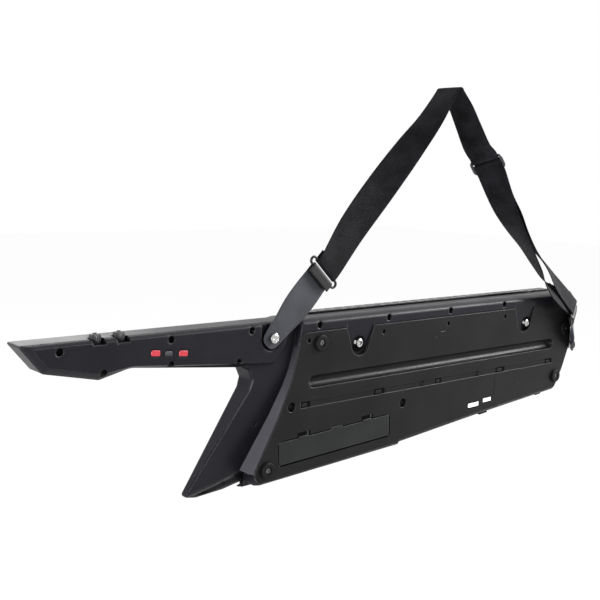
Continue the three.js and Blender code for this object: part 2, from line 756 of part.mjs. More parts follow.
const wellLeft = -KEY_GAP * 2;
const wellRight = KEY_RUN + KEY_GAP * 2;
const wellBack = -KEY_LENGTH - KEY_GAP * 2;
const rampShares = { body: -0.045, neck: -0.09 };
const panelRow = wellBack - PANEL_ROW_DROP;
const displaySpot = [0.42 * KEY_RUN, panelRow];
const valueCentre = 0.55 * KEY_RUN;
const toneCentre = 0.77 * KEY_RUN;
const toneSpots = Array.from({ length: TONE_BUTTON_COUNT }, (_, i) => [
  toneCentre + (i - (TONE_BUTTON_COUNT - 1) / 2) * TONE_BUTTON_PITCH,
  panelRow,
]);
const panelButtonShares = [0.1, 0.15, 0.2, 0.25];
const panelButtonSpots = panelButtonShares.map((share) => [share * KEY_RUN, panelRow]);
const panelButtonNames = ['octave_down_button', 'octave_up_button', 'shift_button', 'write_button'];
const ribbonCentre = [-0.46 * NECK_REACH, -0.26 * NECK_DROP];
const barCentre = [-0.46 * NECK_REACH, -0.6 * NECK_DROP];
const beamCentre = [-0.17 * NECK_REACH, -0.4 * NECK_DROP];

function box2([cx, cz], width, height, radius = 0) {
  const [half, high] = [width / 2, height / 2];
  const ends = [[-half, high], [-half, -high], [half, -high], [half, high]];
  return ends.map(([x, z]) => [cx + x, cz + z, radius]);
}

// A pocket or window in the front, a clearance larger all round than what sits in it
function pocket(centre, width, height, gap, low) {
  return prism(box2(centre, width + 2 * gap, height + 2 * gap), low, BODY_FRONT + OVERRUN);
}

// Jack panel: a block let into the lower wall, in line with the lower edge
const [edgeStart, edgeEnd] = lowerEdgeShares.map(([x, z]) => spot(x, z));
const edgeAngle = Math.atan2(edgeEnd[1] - edgeStart[1], edgeEnd[0] - edgeStart[0]);
const jackAlongShare = 0.42;
const jackCentre = [
  edgeStart[0] + (edgeEnd[0] - edgeStart[0]) * jackAlongShare,
  edgeStart[1] + (edgeEnd[1] - edgeStart[1]) * jackAlongShare,
];
const jackDropShare = 0.83;
const jackLevel = (hornLevel(jackDropShare) + HORN_SKIN + BODY_FRONT) / 2;
function jackCorners(grow) {
  const half = JACK_PANEL_LENGTH / 2 + grow;
  const ends = [[-half, JACK_PANEL_THICKNESS + grow], [-half, -grow * OVERRUN], [half, -grow * OVERRUN],
    [half, JACK_PANEL_THICKNESS + grow]];
  return ends.map((end) => [...tilted(jackCentre, end, edgeAngle), 0]);
}
const jackDepths = [jackLevel - JACK_PANEL_DEPTH / 2, jackLevel + JACK_PANEL_DEPTH / 2];

function frontShell() {
  const levels = [PARTING_LEVEL, BODY_FRONT - FRONT_BEVEL, BODY_FRONT];
  const whole = loft([bodyOutline, bodyOutline, inset(bodyOutline, FRONT_BEVEL)], levels);
  const body = whole.intersect(frontHalf);
  const inner = inset(bodyOutline, WALL);
  const neckReach = [-NECK_REACH, rampShares.neck * KEY_RUN + WALL];
  const neckSpace = prism(inner, 0, NECK_FRONT - WALL)
    .intersect(block(neckReach, [0, BODY_FRONT], [-BODY_DROP, BODY_FRONT]));
  const panelReach = [rampShares.body * KEY_RUN + WALL, KEY_RUN * 2];
  const panelSpace = prism(inner, 0, BODY_FRONT - WALL)
    .intersect(block(panelReach, [0, BODY_FRONT], [-BODY_DROP, wellBack]));
  const well = block([wellLeft, wellRight], [0, BODY_FRONT + OVERRUN], [wellBack, -WALL]);
  const over = block([wellLeft, wellRight], [WALL_LEVEL, BODY_FRONT + OVERRUN], [-WALL - OVERRUN, OVERRUN]);
  const ramp = new THREE.Shape([
    new THREE.Vector2(-NECK_REACH - OVERRUN, NECK_FRONT),
    new THREE.Vector2(rampShares.neck * KEY_RUN, NECK_FRONT),
    new THREE.Vector2(rampShares.body * KEY_RUN, BODY_FRONT + OVERRUN),
    new THREE.Vector2(-NECK_REACH - OVERRUN, BODY_FRONT + OVERRUN),
  ]);
  const rampGeometry = new THREE.ExtrudeGeometry(ramp, { depth: BODY_DROP * 2, bevelEnabled: false });
  rampGeometry.translate(0, 0, -BODY_DROP * 1.5);
  const recessLow = NECK_FRONT - RIBBON_THICKNESS - SEAT_GAP;
  return cut(body, [
    solid(rampGeometry),
    knobBosses.reduce((rest, boss) => rest.subtract(boss), neckSpace),
    panelSpace,
    well,
    over,
    hornBevel,
    ...knobPockets,
    pocket(ribbonCentre, RIBBON_LENGTH, RIBBON_WIDTH, SEAT_GAP, recessLow),
    pocket(beamCentre, BEAM_WIDTH, BEAM_HEIGHT, SEAT_GAP, NECK_FRONT - WINDOW_THICKNESS),
    pocket(barCentre, BAR_LENGTH, BAR_WIDTH, SLIDE_GAP, NECK_FRONT / 2),
    pocket(displaySpot, DISPLAY_WIDTH, DISPLAY_HEIGHT, SEAT_GAP, BODY_FRONT - WINDOW_THICKNESS),
    post(valueCentre, panelRow, VALUE_KNOB_RADIUS / 3 + SEAT_GAP, NECK_FRONT, BODY_FRONT + OVERRUN,
      MIDDLE_SIDE_COUNT),
    ...[...panelButtonSpots, ...toneSpots].map((at) => pocket(at, PANEL_BUTTON_WIDTH, PANEL_BUTTON_HEIGHT,
      SLIDE_GAP, NECK_FRONT)),
    prism(jackCorners(SEAT_GAP), jackDepths[0] - SEAT_GAP, jackDepths[1] + SEAT_GAP),
  ]);
}

function rearCover() {
  const plate = prism(coverOutline, 0, COVER_THICKNESS);
  const outside = trough(GROOVE_RADIUS + GROOVE_WALL, -OVERRUN)
    .subtract(block(span, [-2 * OVERRUN, COVER_THICKNESS / 2], [-BODY_DROP, 0]));
  const slot = [slotShares.left * KEY_RUN, slotShares.right * KEY_RUN];
  const slotMiddle = -slotShares.drop * BODY_DROP;
  const through = COVER_THICKNESS + OVERRUN;
  return cut(plate.add(outside), [
    trough(GROOVE_RADIUS, -OVERRUN),
    block(slot, [-OVERRUN, SLOT_DEPTH], [slotMiddle - SLOT_HEIGHT / 2, slotMiddle + SLOT_HEIGHT / 2]),
    prism(batteryCorners(BATTERY_GAP, BATTERY_GAP * 2), -OVERRUN, through, 2),
    ...latchShares.map((share) => prism(latchCorners(share, BATTERY_GAP), -OVERRUN, through)),
    ...pegHoleShares.map((share) => post(share * KEY_RUN, -PEG_HOLE_DROP, PEG_HOLE_RADIUS, -OVERRUN, through,
      SMALL_SIDE_COUNT)),
    ...screwShares.map((at) => post(...spot(...at), SCREW_RECESS_RADIUS, -OVERRUN, through,
      MIDDLE_SIDE_COUNT)),
  ]);
}

function batteryCover() {
  const plate = prism(batteryCorners(0, BATTERY_GAP * 2), SEAT_GAP, COVER_THICKNESS, 2);
  const latches = latchShares.map((share) => prism(latchCorners(share, 0), SEAT_GAP, COVER_THICKNESS));
  return joined([plate, ...latches]);
}

function batteryCase() {
  const outer = prism(batteryCorners(0, 0), caseLevel, caseFloor);
  return outer.subtract(prism(batteryCorners(-BATTERY_WALL, 0), 0, caseFloor - BATTERY_WALL));
}

function cellRow(side) {
  const length = CELLS_IN_ROW * CELL_LENGTH;
  const level = caseFloor - BATTERY_WALL - SEAT_GAP - CELL_RADIUS;
  const offset = side * (CELL_RADIUS + SEAT_GAP);
  const [x, z] = tilted(batteryCentre, [-length / 2, offset], BATTERY_TILT);
  const direction = new THREE.Vector3(Math.cos(BATTERY_TILT), 0, Math.sin(BATTERY_TILT));
  const profile = [[0, 0]];
  for (let cell = 0; cell < CELLS_IN_ROW; cell += 1) {
    const start = cell * CELL_LENGTH;
    const shoulder = start + CELL_LENGTH - CELL_NUB_LENGTH;
    profile.push([CELL_RADIUS, start], [CELL_RADIUS, shoulder]);
    profile.push([CELL_NUB_RADIUS, shoulder], [CELL_NUB_RADIUS, start + CELL_LENGTH]);
  }
  profile.push([0, length]);
  return turned(profile, new THREE.Vector3(x, level, z), direction, WIRE_SIDE_COUNT);
}

function foot([x, z]) {
  const profile = [
    [0, SEAT_GAP],
    [FOOT_RADIUS, SEAT_GAP],
    [FOOT_RADIUS, FOOT_HEIGHT - FOOT_TAPER],
    [FOOT_RADIUS - FOOT_TAPER, FOOT_HEIGHT],
    [FOOT_RECESS_RADIUS, FOOT_HEIGHT],
    [FOOT_RECESS_RADIUS, FOOT_HEIGHT - FOOT_RECESS_DEPTH],
    [0, FOOT_HEIGHT - FOOT_RECESS_DEPTH],
  ];
  return turned(profile, new THREE.Vector3(x, 0, z), rearward);
}

// Keys. Layers of hinge strip let the combs of an octave lie on each other, as moulded key sets do.
const sharpCentreShares = [0.91, 2.09, 3.87, 5, 6.13];
const naturalsInOctave = 7;
const hingeZ = -KEY_LENGTH - KEY_TAIL_LENGTH + HINGE_STRIP;
const plateLow = KEY_TOP_LEVEL - KEY_PLATE_THICKNESS;
const bedTop = plateLow - 3 * (HINGE_LAYER + SEAT_GAP) - 2 * SEAT_GAP;
const combLayers = { sharps: 0, dfa: 1, cegb: 2 };
function layerLow(layer) {
  return bedTop + SEAT_GAP + layer * (HINGE_LAYER + SEAT_GAP);
}

function keyTail(left, right, layer, alone) {
  const low = layerLow(layer);
  const start = -KEY_LENGTH + KEY_GAP * 2;
  const [hingeLow, hingeHigh] = [hingeZ - HINGE_STRIP / 2, hingeZ + HINGE_STRIP / 2];
  const riser = block([left, right], [low, plateLow + SEAT_GAP], [start, start + HINGE_STRIP]);
  const tail = block([left, right], [low, low + HINGE_LAYER], [hingeLow, start + HINGE_STRIP / 2]);
  const seat = alone ? layerLow(0) : low;
  const foundation = block([left, right], [seat, low + HINGE_LAYER], [hingeLow, hingeHigh]);
  return joined([riser, tail, foundation]);
}

function natural(octave, step, alone) {
  const origin = octave * naturalsInOctave * KEY_PITCH;
  const headLeft = origin + step * KEY_PITCH + KEY_GAP / 2;
  const headRight = origin + (step + 1) * KEY_PITCH - KEY_GAP / 2;
  const clear = SHARP_WIDTH / 2 + KEY_GAP;
  let [tailLeft, tailRight] = [headLeft, headRight];
  const isTopKey = octave * naturalsInOctave + step === NATURAL_COUNT - 1;
  sharpCentreShares.forEach((share) => {
    const centre = origin + share * KEY_PITCH;
    if (!isTopKey && Math.abs(centre - headLeft) < KEY_PITCH / 2) {
      tailLeft = Math.max(tailLeft, centre + clear);
    }
    if (!isTopKey && Math.abs(centre - headRight) < KEY_PITCH / 2) {
      tailRight = Math.min(tailRight, centre - clear);
    }
  });
  const front = KEY_LIP_OVERHANG + KEY_LIP_THICKNESS;
  const back = -KEY_LENGTH + KEY_GAP * 2;
  const notch = [[headRight, -KEY_HEAD_LENGTH, 0], [tailRight, -KEY_HEAD_LENGTH, 0]];
  const otherNotch = [[tailLeft, -KEY_HEAD_LENGTH, 0], [headLeft, -KEY_HEAD_LENGTH, 0]];
  const plan = [
    [headLeft, front, KEY_CORNER],
    [headRight, front, KEY_CORNER],
    ...(tailRight < headRight ? notch : []),
    [tailRight, back, 0],
    [tailLeft, back, 0],
    ...(tailLeft > headLeft ? otherNotch : []),
  ];
  const lip = [
    [headLeft, front, KEY_CORNER],
    [headRight, front, KEY_CORNER],
    [headRight, KEY_LIP_OVERHANG, 0],
    [headLeft, KEY_LIP_OVERHANG, 0],
  ];
  const layer = step % 2 === 1 ? combLayers.dfa : combLayers.cegb;
  return joined([
    prism(plan, plateLow, KEY_TOP_LEVEL, 1),
    prism(lip, LIP_LEVEL, plateLow + SEAT_GAP, 1),
    keyTail(tailLeft, tailRight, layer, alone),
  ]);
}

function sharp(octave, index, alone) {
  const centre = (octave * naturalsInOctave + sharpCentreShares[index]) * KEY_PITCH;
  const half = SHARP_WIDTH / 2;
  const front = -KEY_HEAD_LENGTH - KEY_GAP * 2;
  const back = -KEY_LENGTH + KEY_GAP * 2;
  const plan = (wide, near) => [
    [centre - wide, near, 0],
    [centre + wide, near, 0],
    [centre + wide, back, 0],
    [centre - wide, back, 0],
  ];
  const base = plan(half, front);
  const top = plan(half - KEY_GAP * 1.5, front - SHARP_RISE / 3);
  const levels = [plateLow - KEY_GAP, KEY_TOP_LEVEL, KEY_TOP_LEVEL + SHARP_RISE];
  const tail = keyTail(centre - half, centre + half, combLayers.sharps, alone);
  return joined([loft([base, base, top], levels), tail]);
}

function comb(keys, left, right, layer) {
  const low = layerLow(layer);
  const hinge = [hingeZ - HINGE_STRIP / 2, hingeZ + HINGE_STRIP / 2];
  return joined([...keys, block([left, right], [low, low + HINGE_LAYER], hinge)]);
}

function addKeys() {
  const octaves = Math.floor(NATURAL_COUNT / naturalsInOctave);
  const naturalNames = ['c', 'd', 'e', 'f', 'g', 'a', 'b'];
  const sharpNames = ['c_sharp', 'd_sharp', 'f_sharp', 'g_sharp', 'a_sharp'];
  const singleOctave = 2;
  for (let octave = 0; octave < octaves; octave += 1) {
    const left = octave * naturalsInOctave * KEY_PITCH + KEY_GAP;
    const right = (octave + 1) * naturalsInOctave * KEY_PITCH - KEY_GAP;
    if (octave === singleOctave) {
      naturalNames.forEach((name, step) => add(`key_${name}`, natural(octave, step, true), 'natural'));
      sharpNames.forEach((name, index) => add(`key_${name}`, sharp(octave, index, true), 'sharp'));
    } else {
      const outer = [0, 2, 4, 6].map((step) => natural(octave, step, false));
      const inner = [1, 3, 5].map((step) => natural(octave, step, false));
      const raised = sharpNames.map((name, index) => sharp(octave, index, false));
      add(`naturals_outer_${octave + 1}`, comb(outer, left, right, combLayers.cegb), 'natural');
      add(`naturals_inner_${octave + 1}`, comb(inner, left, right, combLayers.dfa), 'natural');
      add(`sharps_${octave + 1}`, comb(raised, left, right, combLayers.sharps), 'sharp');
    }
  }
  add('key_top_c', natural(octaves, 0, true), 'natural');
}

function keyBed() {
  const back = hingeZ - HINGE_STRIP;
  const plateTop = bedTop - SHARP_RISE;
  const profile = [
    [plateTop - WALL, -WALL - SEAT_GAP],
    [plateTop - WALL, back],
    [bedTop, back],
    [bedTop, hingeZ + HINGE_STRIP / 2],
    [plateTop, hingeZ + HINGE_STRIP / 2],
    [plateTop, -WALL - SEAT_GAP],
  ];
  const inside = prism(inset(bodyOutline, WALL + SEAT_GAP), 0, BODY_FRONT);
  return bar(profile, wellLeft + SEAT_GAP, wellRight - SEAT_GAP).intersect(inside);
}

function mainBoard() {
  const top = hingeZ - HINGE_STRIP - SEAT_GAP;
  const low = layerLow(0) - WALL;
  const depth = JACK_PANEL_THICKNESS;
  const board = block([0.1 * KEY_RUN, 0.86 * KEY_RUN], [low, low + WINDOW_THICKNESS], [top - depth, top]);
  const chips = [0.2, 0.35, 0.5, 0.7].map((share) => {
    const wide = [share * KEY_RUN, share * KEY_RUN + 2 * SLOT_HEIGHT];
    return block(wide, [low - WINDOW_THICKNESS, low + SEAT_GAP], [top - depth * 0.8, top - depth * 0.2]);
  });
  return joined([board, ...chips]);
}

// Controls
function neckButton(button) {
  const face = NECK_LEVEL - NECK_BUTTON_PROUD;
  const body = neckButtonCorners(button, 0);
  const levels = [face, face + NECK_BUTTON_PROUD / 2, face + NECK_BUTTON_PROUD + NECK_BUTTON_DEPTH];
  return loft([inset(body, NECK_BUTTON_PROUD / 2), body, body], levels, 2);
}

function neckKnob(at) {
  const foot = -NECK_KNOB_SINK + SEAT_GAP;
  const chamfer = NECK_KNOB_RADIUS / 8;
  const nub = NECK_KNOB_RADIUS / 3;
  const height = NECK_KNOB_RISE - foot;
  const profile = [
    [0, 0],
    [NECK_KNOB_RADIUS, 0],
    [NECK_KNOB_RADIUS, height - 3 * chamfer],
    [NECK_KNOB_RADIUS - chamfer, height - 2 * chamfer],
    [nub, height - chamfer],
    [nub, height],
    [0, height],
  ];
  return turned(profile, at.clone().setZ(foot), upward);
}

function modulationBar() {
  const body = box2(barCentre, BAR_LENGTH, BAR_WIDTH, BAR_WIDTH / 4);
  const top = NECK_FRONT + BAR_PROUD;
  return loft([body, body, inset(body, BAR_PROUD / 2)], [top - BAR_THICKNESS, top - BAR_PROUD / 2, top], 2);
}

function plateIn(centre, width, height, low, thickness, radius = 0) {
  return prism(box2(centre, width, height, radius), low, low + thickness, 2);
}

function panelButton(at) {
  const body = box2(at, PANEL_BUTTON_WIDTH, PANEL_BUTTON_HEIGHT, PANEL_BUTTON_HEIGHT / 4);
  const top = BODY_FRONT + PANEL_BUTTON_PROUD;
  const low = BODY_FRONT - WALL - PANEL_BUTTON_PROUD;
  const edge = PANEL_BUTTON_PROUD / 3;
  return loft([body, body, inset(body, edge)], [low, top - edge, top], 1);
}

function toneButtonStrip() {
  const length = TONE_BUTTON_COUNT * TONE_BUTTON_PITCH;
  const low = BODY_FRONT - WALL - PANEL_BUTTON_PROUD - SLIDE_GAP - HINGE_LAYER / 2;
  const base = plateIn([toneCentre, panelRow], length, PANEL_BUTTON_HEIGHT, low, HINGE_LAYER);
  return joined([base, ...toneSpots.map((at) => panelButton(at))]);
}

function valueKnob() {
  const shaft = VALUE_KNOB_RADIUS / 3;
  const seat = SEAT_GAP;
  const sink = NECK_FRONT + BAR_PROUD - BODY_FRONT;
  const profile = [
    [0, sink],
    [shaft, sink],
    [shaft, seat],
    [VALUE_KNOB_RADIUS, seat],
    [VALUE_KNOB_RADIUS * 0.92, VALUE_KNOB_HEIGHT * 0.9],
    [VALUE_KNOB_RADIUS * 0.8, VALUE_KNOB_HEIGHT],
    [0, VALUE_KNOB_HEIGHT],
  ];
  return turned(profile, new THREE.Vector3(valueCentre, BODY_FRONT, panelRow), forward);
}

// Sockets stand in a row, measured along the panel from its middle.
const socketShares = [
  { along: -0.42, radius: ROUND_SOCKET_RADIUS },
  { along: -0.3, radius: ROUND_SOCKET_RADIUS },
  { along: -0.17, radius: JACK_RADIUS },
  { along: -0.07, radius: JACK_RADIUS },
  { along: 0.05, radius: JACK_RADIUS },
  { along: 0.15, radius: JACK_RADIUS },
  { along: 0.26, radius: SMALL_JACK_RADIUS },
];
const switchShare = 0.4;
const jackDown = new THREE.Vector3(Math.sin(edgeAngle), 0, -Math.cos(edgeAngle));
function jackPoint(along, up) {
  const [x, z] = tilted(jackCentre, [along, up], edgeAngle);
  return new THREE.Vector3(x, jackLevel, z);
}
function switchCorners(length, low, high) {
  const middle = switchShare * JACK_PANEL_LENGTH;
  const ends = [[-length / 2, high], [-length / 2, low], [length / 2, low], [length / 2, high]];
  return ends.map(([along, up]) => [...tilted(jackCentre, [middle + along, up], edgeAngle), 0]);
}
function jackPanel() {
  const body = prism(jackCorners(0), ...jackDepths);
  const sockets = socketShares.map(({ along, radius }) => {
    const mouth = jackPoint(along * JACK_PANEL_LENGTH, -OVERRUN);
    const floor = mouth.clone().addScaledVector(jackDown, -SOCKET_DEPTH - OVERRUN);
    return rod(mouth, floor, radius, MIDDLE_SIDE_COUNT);
  });
  const slotLength = SWITCH_LENGTH + SWITCH_TRAVEL + 2 * SLIDE_GAP;
  const slotHalf = SWITCH_WIDTH / 2 + SLIDE_GAP;
  const slot = prism(switchCorners(slotLength, -OVERRUN, SOCKET_DEPTH / 2), jackLevel - slotHalf,
    jackLevel + slotHalf);
  return cut(body, [...sockets, slot]);
}
function powerSwitch() {
  const shift = -SWITCH_TRAVEL / 2;
  const middle = switchShare * JACK_PANEL_LENGTH;
  const low = -SWITCH_TRAVEL / 2;
  const high = SOCKET_DEPTH / 2 - SEAT_GAP;
  const [left, right] = [middle + shift - SWITCH_LENGTH / 2, middle + shift + SWITCH_LENGTH / 2];
  const ends = [[left, high], [left, low], [right, low], [right, high]];
  const corners = ends.map((end) => [...tilted(jackCentre, end, edgeAngle), 0]);
  return prism(corners, jackLevel - SWITCH_WIDTH / 2, jackLevel + SWITCH_WIDTH / 2);
}

// Strap pins. The left one stands in the neck's recess, the right one on the end chamfer.
function strapPin(base, direction) {
  const flange = SEAT_GAP + PIN_FLANGE_HEIGHT;
  const profile = [
    [0, SEAT_GAP],
    [PIN_FLANGE_RADIUS, SEAT_GAP],
    [PIN_FLANGE_RADIUS, flange],
    [PIN_NECK_RADIUS, flange],
    [PIN_NECK_RADIUS, PIN_REACH - PIN_HEAD_HEIGHT],
    [PIN_HEAD_RADIUS, PIN_REACH - PIN_HEAD_HEIGHT],
    [PIN_HEAD_RADIUS, PIN_REACH - PIN_HEAD_HEIGHT / 3],
    [PIN_HEAD_RADIUS * 0.8, PIN_REACH],
    [0, PIN_REACH],
  ];
  return turned(profile, base, direction, MIDDLE_SIDE_COUNT);
}
const [chamferRear, chamferFoot] = [[raisedRearShares, RIM_LEVEL], [raisedFootShares, PARTING_LEVEL]]
  .map(([shares, level]) => {
    const [endShare] = shares.at(-1);
    return new THREE.Vector3(endShare * KEY_RUN, level, -RIGHT_PIN_Z_SHARE * BODY_DROP);
  });
const chamferAlong = unit(chamferRear, chamferFoot);
const chamferOut = new THREE.Vector3(chamferAlong.y, -chamferAlong.x, 0);
const rightPin = chamferRear.clone().lerp(chamferFoot, 0.5);

// The strap route. Places are shares of the way from pin to pin, of the fold's rise over the left pin,
// and of the strap's own level; widths are directions.
const tabLevel = (SEAT_GAP + PIN_FLANGE_HEIGHT + PIN_REACH - PIN_HEAD_HEIGHT) / 2;
const leftTabStart = leftPin.clone().addScaledVector(rearward, tabLevel);
const rightTabStart = rightPin.clone().addScaledVector(chamferOut, tabLevel);
function strapPoint([along, level, rise]) {
  const x = leftPin.x + along * (rightPin.x - leftPin.x);
  return new THREE.Vector3(x, level * STRAP_LEVEL, leftPin.z + rise * STRAP_RISE);
}
const fold = strapPoint([0.488, 1, 1]);
const leftRing = strapPoint([0.117, -0.25, 0.24]);
const rightRing = strapPoint([0.966, -1.3, -0.027]);
const leftAcross = new THREE.Vector3(0.79, 0, -0.61);
const rightAcross = new THREE.Vector3(0.621, 0.3, 0.637);

// Part of a turn round a bar, as stations of a strip; angle 0 points along, and it turns towards away.
function wrap(centre, along, across, radius, from, to, half, steps = TURN_STEP_COUNT) {
  const away = along.clone().cross(across).normalize();
  return Array.from({ length: steps + 1 }, (_, i) => {
    const angle = from + (to - from) * i / steps;
    const point = centre.clone().addScaledVector(along, radius * Math.cos(angle));
    point.addScaledVector(away, radius * Math.sin(angle));
    return { centre: point, across, half };
  });
}

// Leather tab: from the round end at the pin to the ring, round its lower bar and a short way back.
const tabShares = [
  [-0.125, 0.2],
  [-0.11, 0.36],
  [-0.07, 0.54],
  [0, 0.66],
  [0.08, 0.7],
  [0.2, 0.78],
  [0.45, 1],
  [0.7, 1.04],
  [0.9, 1],
];
function leatherTab(start, startAcross, ring, ringAcross, neckAxis, bow) {
  const along = unit(start, ring);
  const across = square(ringAcross, along);
  const centre = ring.clone().addScaledVector(along, -RING_DEPTH / 2);
  const radius = WIRE_RADIUS + SEAT_GAP + LEATHER_THICKNESS / 2;
  const away = along.clone().cross(across).normalize();
  const end = centre.clone().addScaledVector(away, radius);
  const half = WEB_WIDTH / 2;
  const flat = tabShares.map(([share, wide]) => {
    const within = THREE.MathUtils.clamp(share, 0, 1);
    const lift = bow * Math.sin(Math.PI * within) ** 2;
    return {
      centre: start.clone().lerp(end, share).addScaledVector(rearward, lift),
      across: startAcross.clone().lerp(across, within).normalize(),
      half: half * wide,
    };
  });
  const turn = wrap(centre, along, across, radius, Math.PI / 2, -Math.PI / 2, half);
  const back = [0.6, 1.4, 2.2].map((far) => {
    const point = turn[turn.length - 1].centre.clone().addScaledVector(along, -far * RING_DEPTH / 2);
    return { centre: point, across, half };
  });
  const body = strip([...flat, ...turn, ...back], LEATHER_THICKNESS);
  const holeEnds = [-PIN_REACH, PIN_REACH].map((far) => start.clone().addScaledVector(neckAxis, far));
  return body.subtract(rod(...holeEnds, PIN_NECK_RADIUS + SLIDE_GAP));
}

// Wire ring: a rounded rectangle of round wire with two long bars.
function wireRing(ring, along, across) {
  const halfWidth = RING_WIDTH / 2;
  const halfDepth = RING_DEPTH / 2;
  const away = along.clone().cross(across).normalize();
  const steps = 6;
  const path = [];
  [[1, 0], [-1, Math.PI]].forEach(([side, from]) => {
    for (let step = 0; step <= steps; step += 1) {
      const angle = from - Math.PI / 2 + Math.PI * step / steps;
      const centre = ring.clone().addScaledVector(across, side * halfWidth + halfDepth * Math.cos(angle));
      path.push({ centre: centre.addScaledVector(along, halfDepth * Math.sin(angle)), angle });
    }
  });
  const rings = path.map(({ centre, angle }) => {
    const outward = across.clone().multiplyScalar(Math.cos(angle)).addScaledVector(along, Math.sin(angle));
    return Array.from({ length: WIRE_SIDE_COUNT }, (_, i) => {
      const turn = 2 * Math.PI * (i + 0.5) / WIRE_SIDE_COUNT;
      const point = centre.clone().addScaledVector(outward, WIRE_RADIUS * Math.cos(turn));
      return point.addScaledVector(away, WIRE_RADIUS * Math.sin(turn));
    });
  });
  return skin(rings, [], true);
}

// Webbing: one length, sewn round the left ring, over the fold, through the slider, round the right
// ring and back to the slider's middle bar.
const leftRunShares = [
  [0.193, 0, 0.405, 0.72, -0.25, -0.6],
  [0.276, 0.33, 0.57, 0.55, -0.55, -0.5],
  [0.361, 0.58, 0.735, 0.35, -0.8, -0.35],
  [0.429, 0.83, 0.865, 0.15, -0.95, -0.15],
];
const rightRunShares = [
  [0.526, 1, 0.925, 0.08, -0.98, 0.06],
  [0.553, 0.92, 0.848, 0.15, -0.96, 0.12],
  [0.589, 0.83, 0.75, 0.28, -0.92, 0.2],
];
const outerRunShares = [
  [0.681, 0.7, 0.537, 0.25, -0.95, 0.15],
  [0.715, 0.5, 0.465, 0.1, -0.99, 0.05],
  [0.75, 0.42, 0.39, -0.12, -0.97, -0.1],
  [0.795, 0.17, 0.304, -0.33, -0.91, -0.26],
  [0.853, 0, 0.219, -0.45, -0.75, -0.42],
  [0.907, -0.33, 0.112, -0.6, -0.55, -0.55],
];
const innerRunShares = [
  [0.864, -1.2, 0.088, -0.55, -0.65, -0.5],
  [0.842, 0.33, 0.18, -0.36, -0.85, -0.34],
  [0.796, 0.55, 0.28, -0.28, -0.93, -0.2],
  [0.742, 0.4, 0.375, -0.1, -0.98, -0.05],
  [0.693, 0.33, 0.48, 0.12, -0.98, 0.1],
];
const webHalf = WEB_WIDTH / 2;
function run(shares) {
  return shares.map(([along, level, rise, x, y, z]) => ({
    centre: strapPoint([along, level, rise]),
    across: new THREE.Vector3(x, y, z).normalize(),
    half: webHalf,
  }));
}
const sliderCentre = strapPoint([0.627, 0.75, 0.681]);
const sliderAlong = unit(strapPoint([0.589, 0.83, 0.75]), strapPoint([0.679, 0.6, 0.533]));
const sliderAcross = square(new THREE.Vector3(0.36, -0.89, 0.27), sliderAlong);
const sliderAway = sliderAlong.clone().cross(sliderAcross).normalize();
const leftPull = unit(leftTabStart, leftRing);
const leftSquare = square(leftAcross, leftPull);
const rightPull = unit(rightTabStart, rightRing);
const rightSquare = square(rightAcross, rightPull);
const wrapRadius = WIRE_RADIUS + SEAT_GAP + WEB_THICKNESS / 2;

function sliderPoint(along, away) {
  const point = sliderCentre.clone().addScaledVector(sliderAlong, along);
  return { centre: point.addScaledVector(sliderAway, away), across: sliderAcross, half: webHalf };
}

function webbing() {
  const upper = leftRing.clone().addScaledVector(leftPull, RING_DEPTH / 2);
  const quarter = Math.PI / 2;
  const first = wrap(upper, leftPull, leftSquare, wrapRadius, quarter, 3 * quarter, webHalf);
  const sewn = [9, 5, 1.5].map((far) => ({
    centre: first[0].centre.clone().addScaledVector(leftPull, far * WIRE_RADIUS),
    across: leftSquare,
    half: webHalf,
  }));
  const leave = first[first.length - 1].centre.clone().addScaledVector(leftPull, 5 * WIRE_RADIUS);
  const foldMiddle = fold.clone().addScaledVector(upward, -STRAP_FOLD_RADIUS);
  const swing = quarter * 0.75;
  const over = wrap(foldMiddle, upward, rearward, STRAP_FOLD_RADIUS, -swing, swing, webHalf);
  const face = SLIDER_THICKNESS / 2 + SEAT_GAP + WEB_THICKNESS / 2;
  const barFace = wrapRadius + WEB_THICKNESS + SEAT_GAP * 2;
  const half = SLIDER_HEIGHT / 2;
  const through = [
    sliderPoint(-half * 1.3, face),
    sliderPoint(-half * 0.68, face),
    sliderPoint(-half * 0.2, -barFace),
    sliderPoint(half * 0.2, -barFace),
    sliderPoint(half * 0.62, -face),
    sliderPoint(half * 1.3, -face),
  ];
  const lower = rightRing.clone().addScaledVector(rightPull, RING_DEPTH / 2);
  const rightWebPull = square(unit(lower, strapPoint([0.892, -0.4, 0.098])), rightSquare);
  const barAcross = rightSquare.clone().negate();
  const bend = wrap(lower, rightWebPull, barAcross, wrapRadius, quarter, 3 * quarter, webHalf);
  const beside = (station) => ({
    ...station,
    centre: station.centre.clone().addScaledVector(rightWebPull, 4 * WIRE_RADIUS),
  });
  const turn = [beside(bend[0]), ...bend, beside(bend[bend.length - 1])];
  const lastBar = wrap(sliderCentre, sliderAlong, sliderAcross, wrapRadius, quarter, quarter * 2.8, webHalf);
  return strip(finer([
    ...sewn,
    ...first,
    { centre: leave, across: leftSquare, half: webHalf },
    ...run(leftRunShares),
    ...over,
    ...run(rightRunShares),
    ...through,
    ...run(outerRunShares),
    ...turn,
    ...run(innerRunShares),
    sliderPoint(half * 1.3, face),
    sliderPoint(half * 0.7, face),
    ...lastBar,
  ], WEB_WIDTH / 2), WEB_THICKNESS);
}

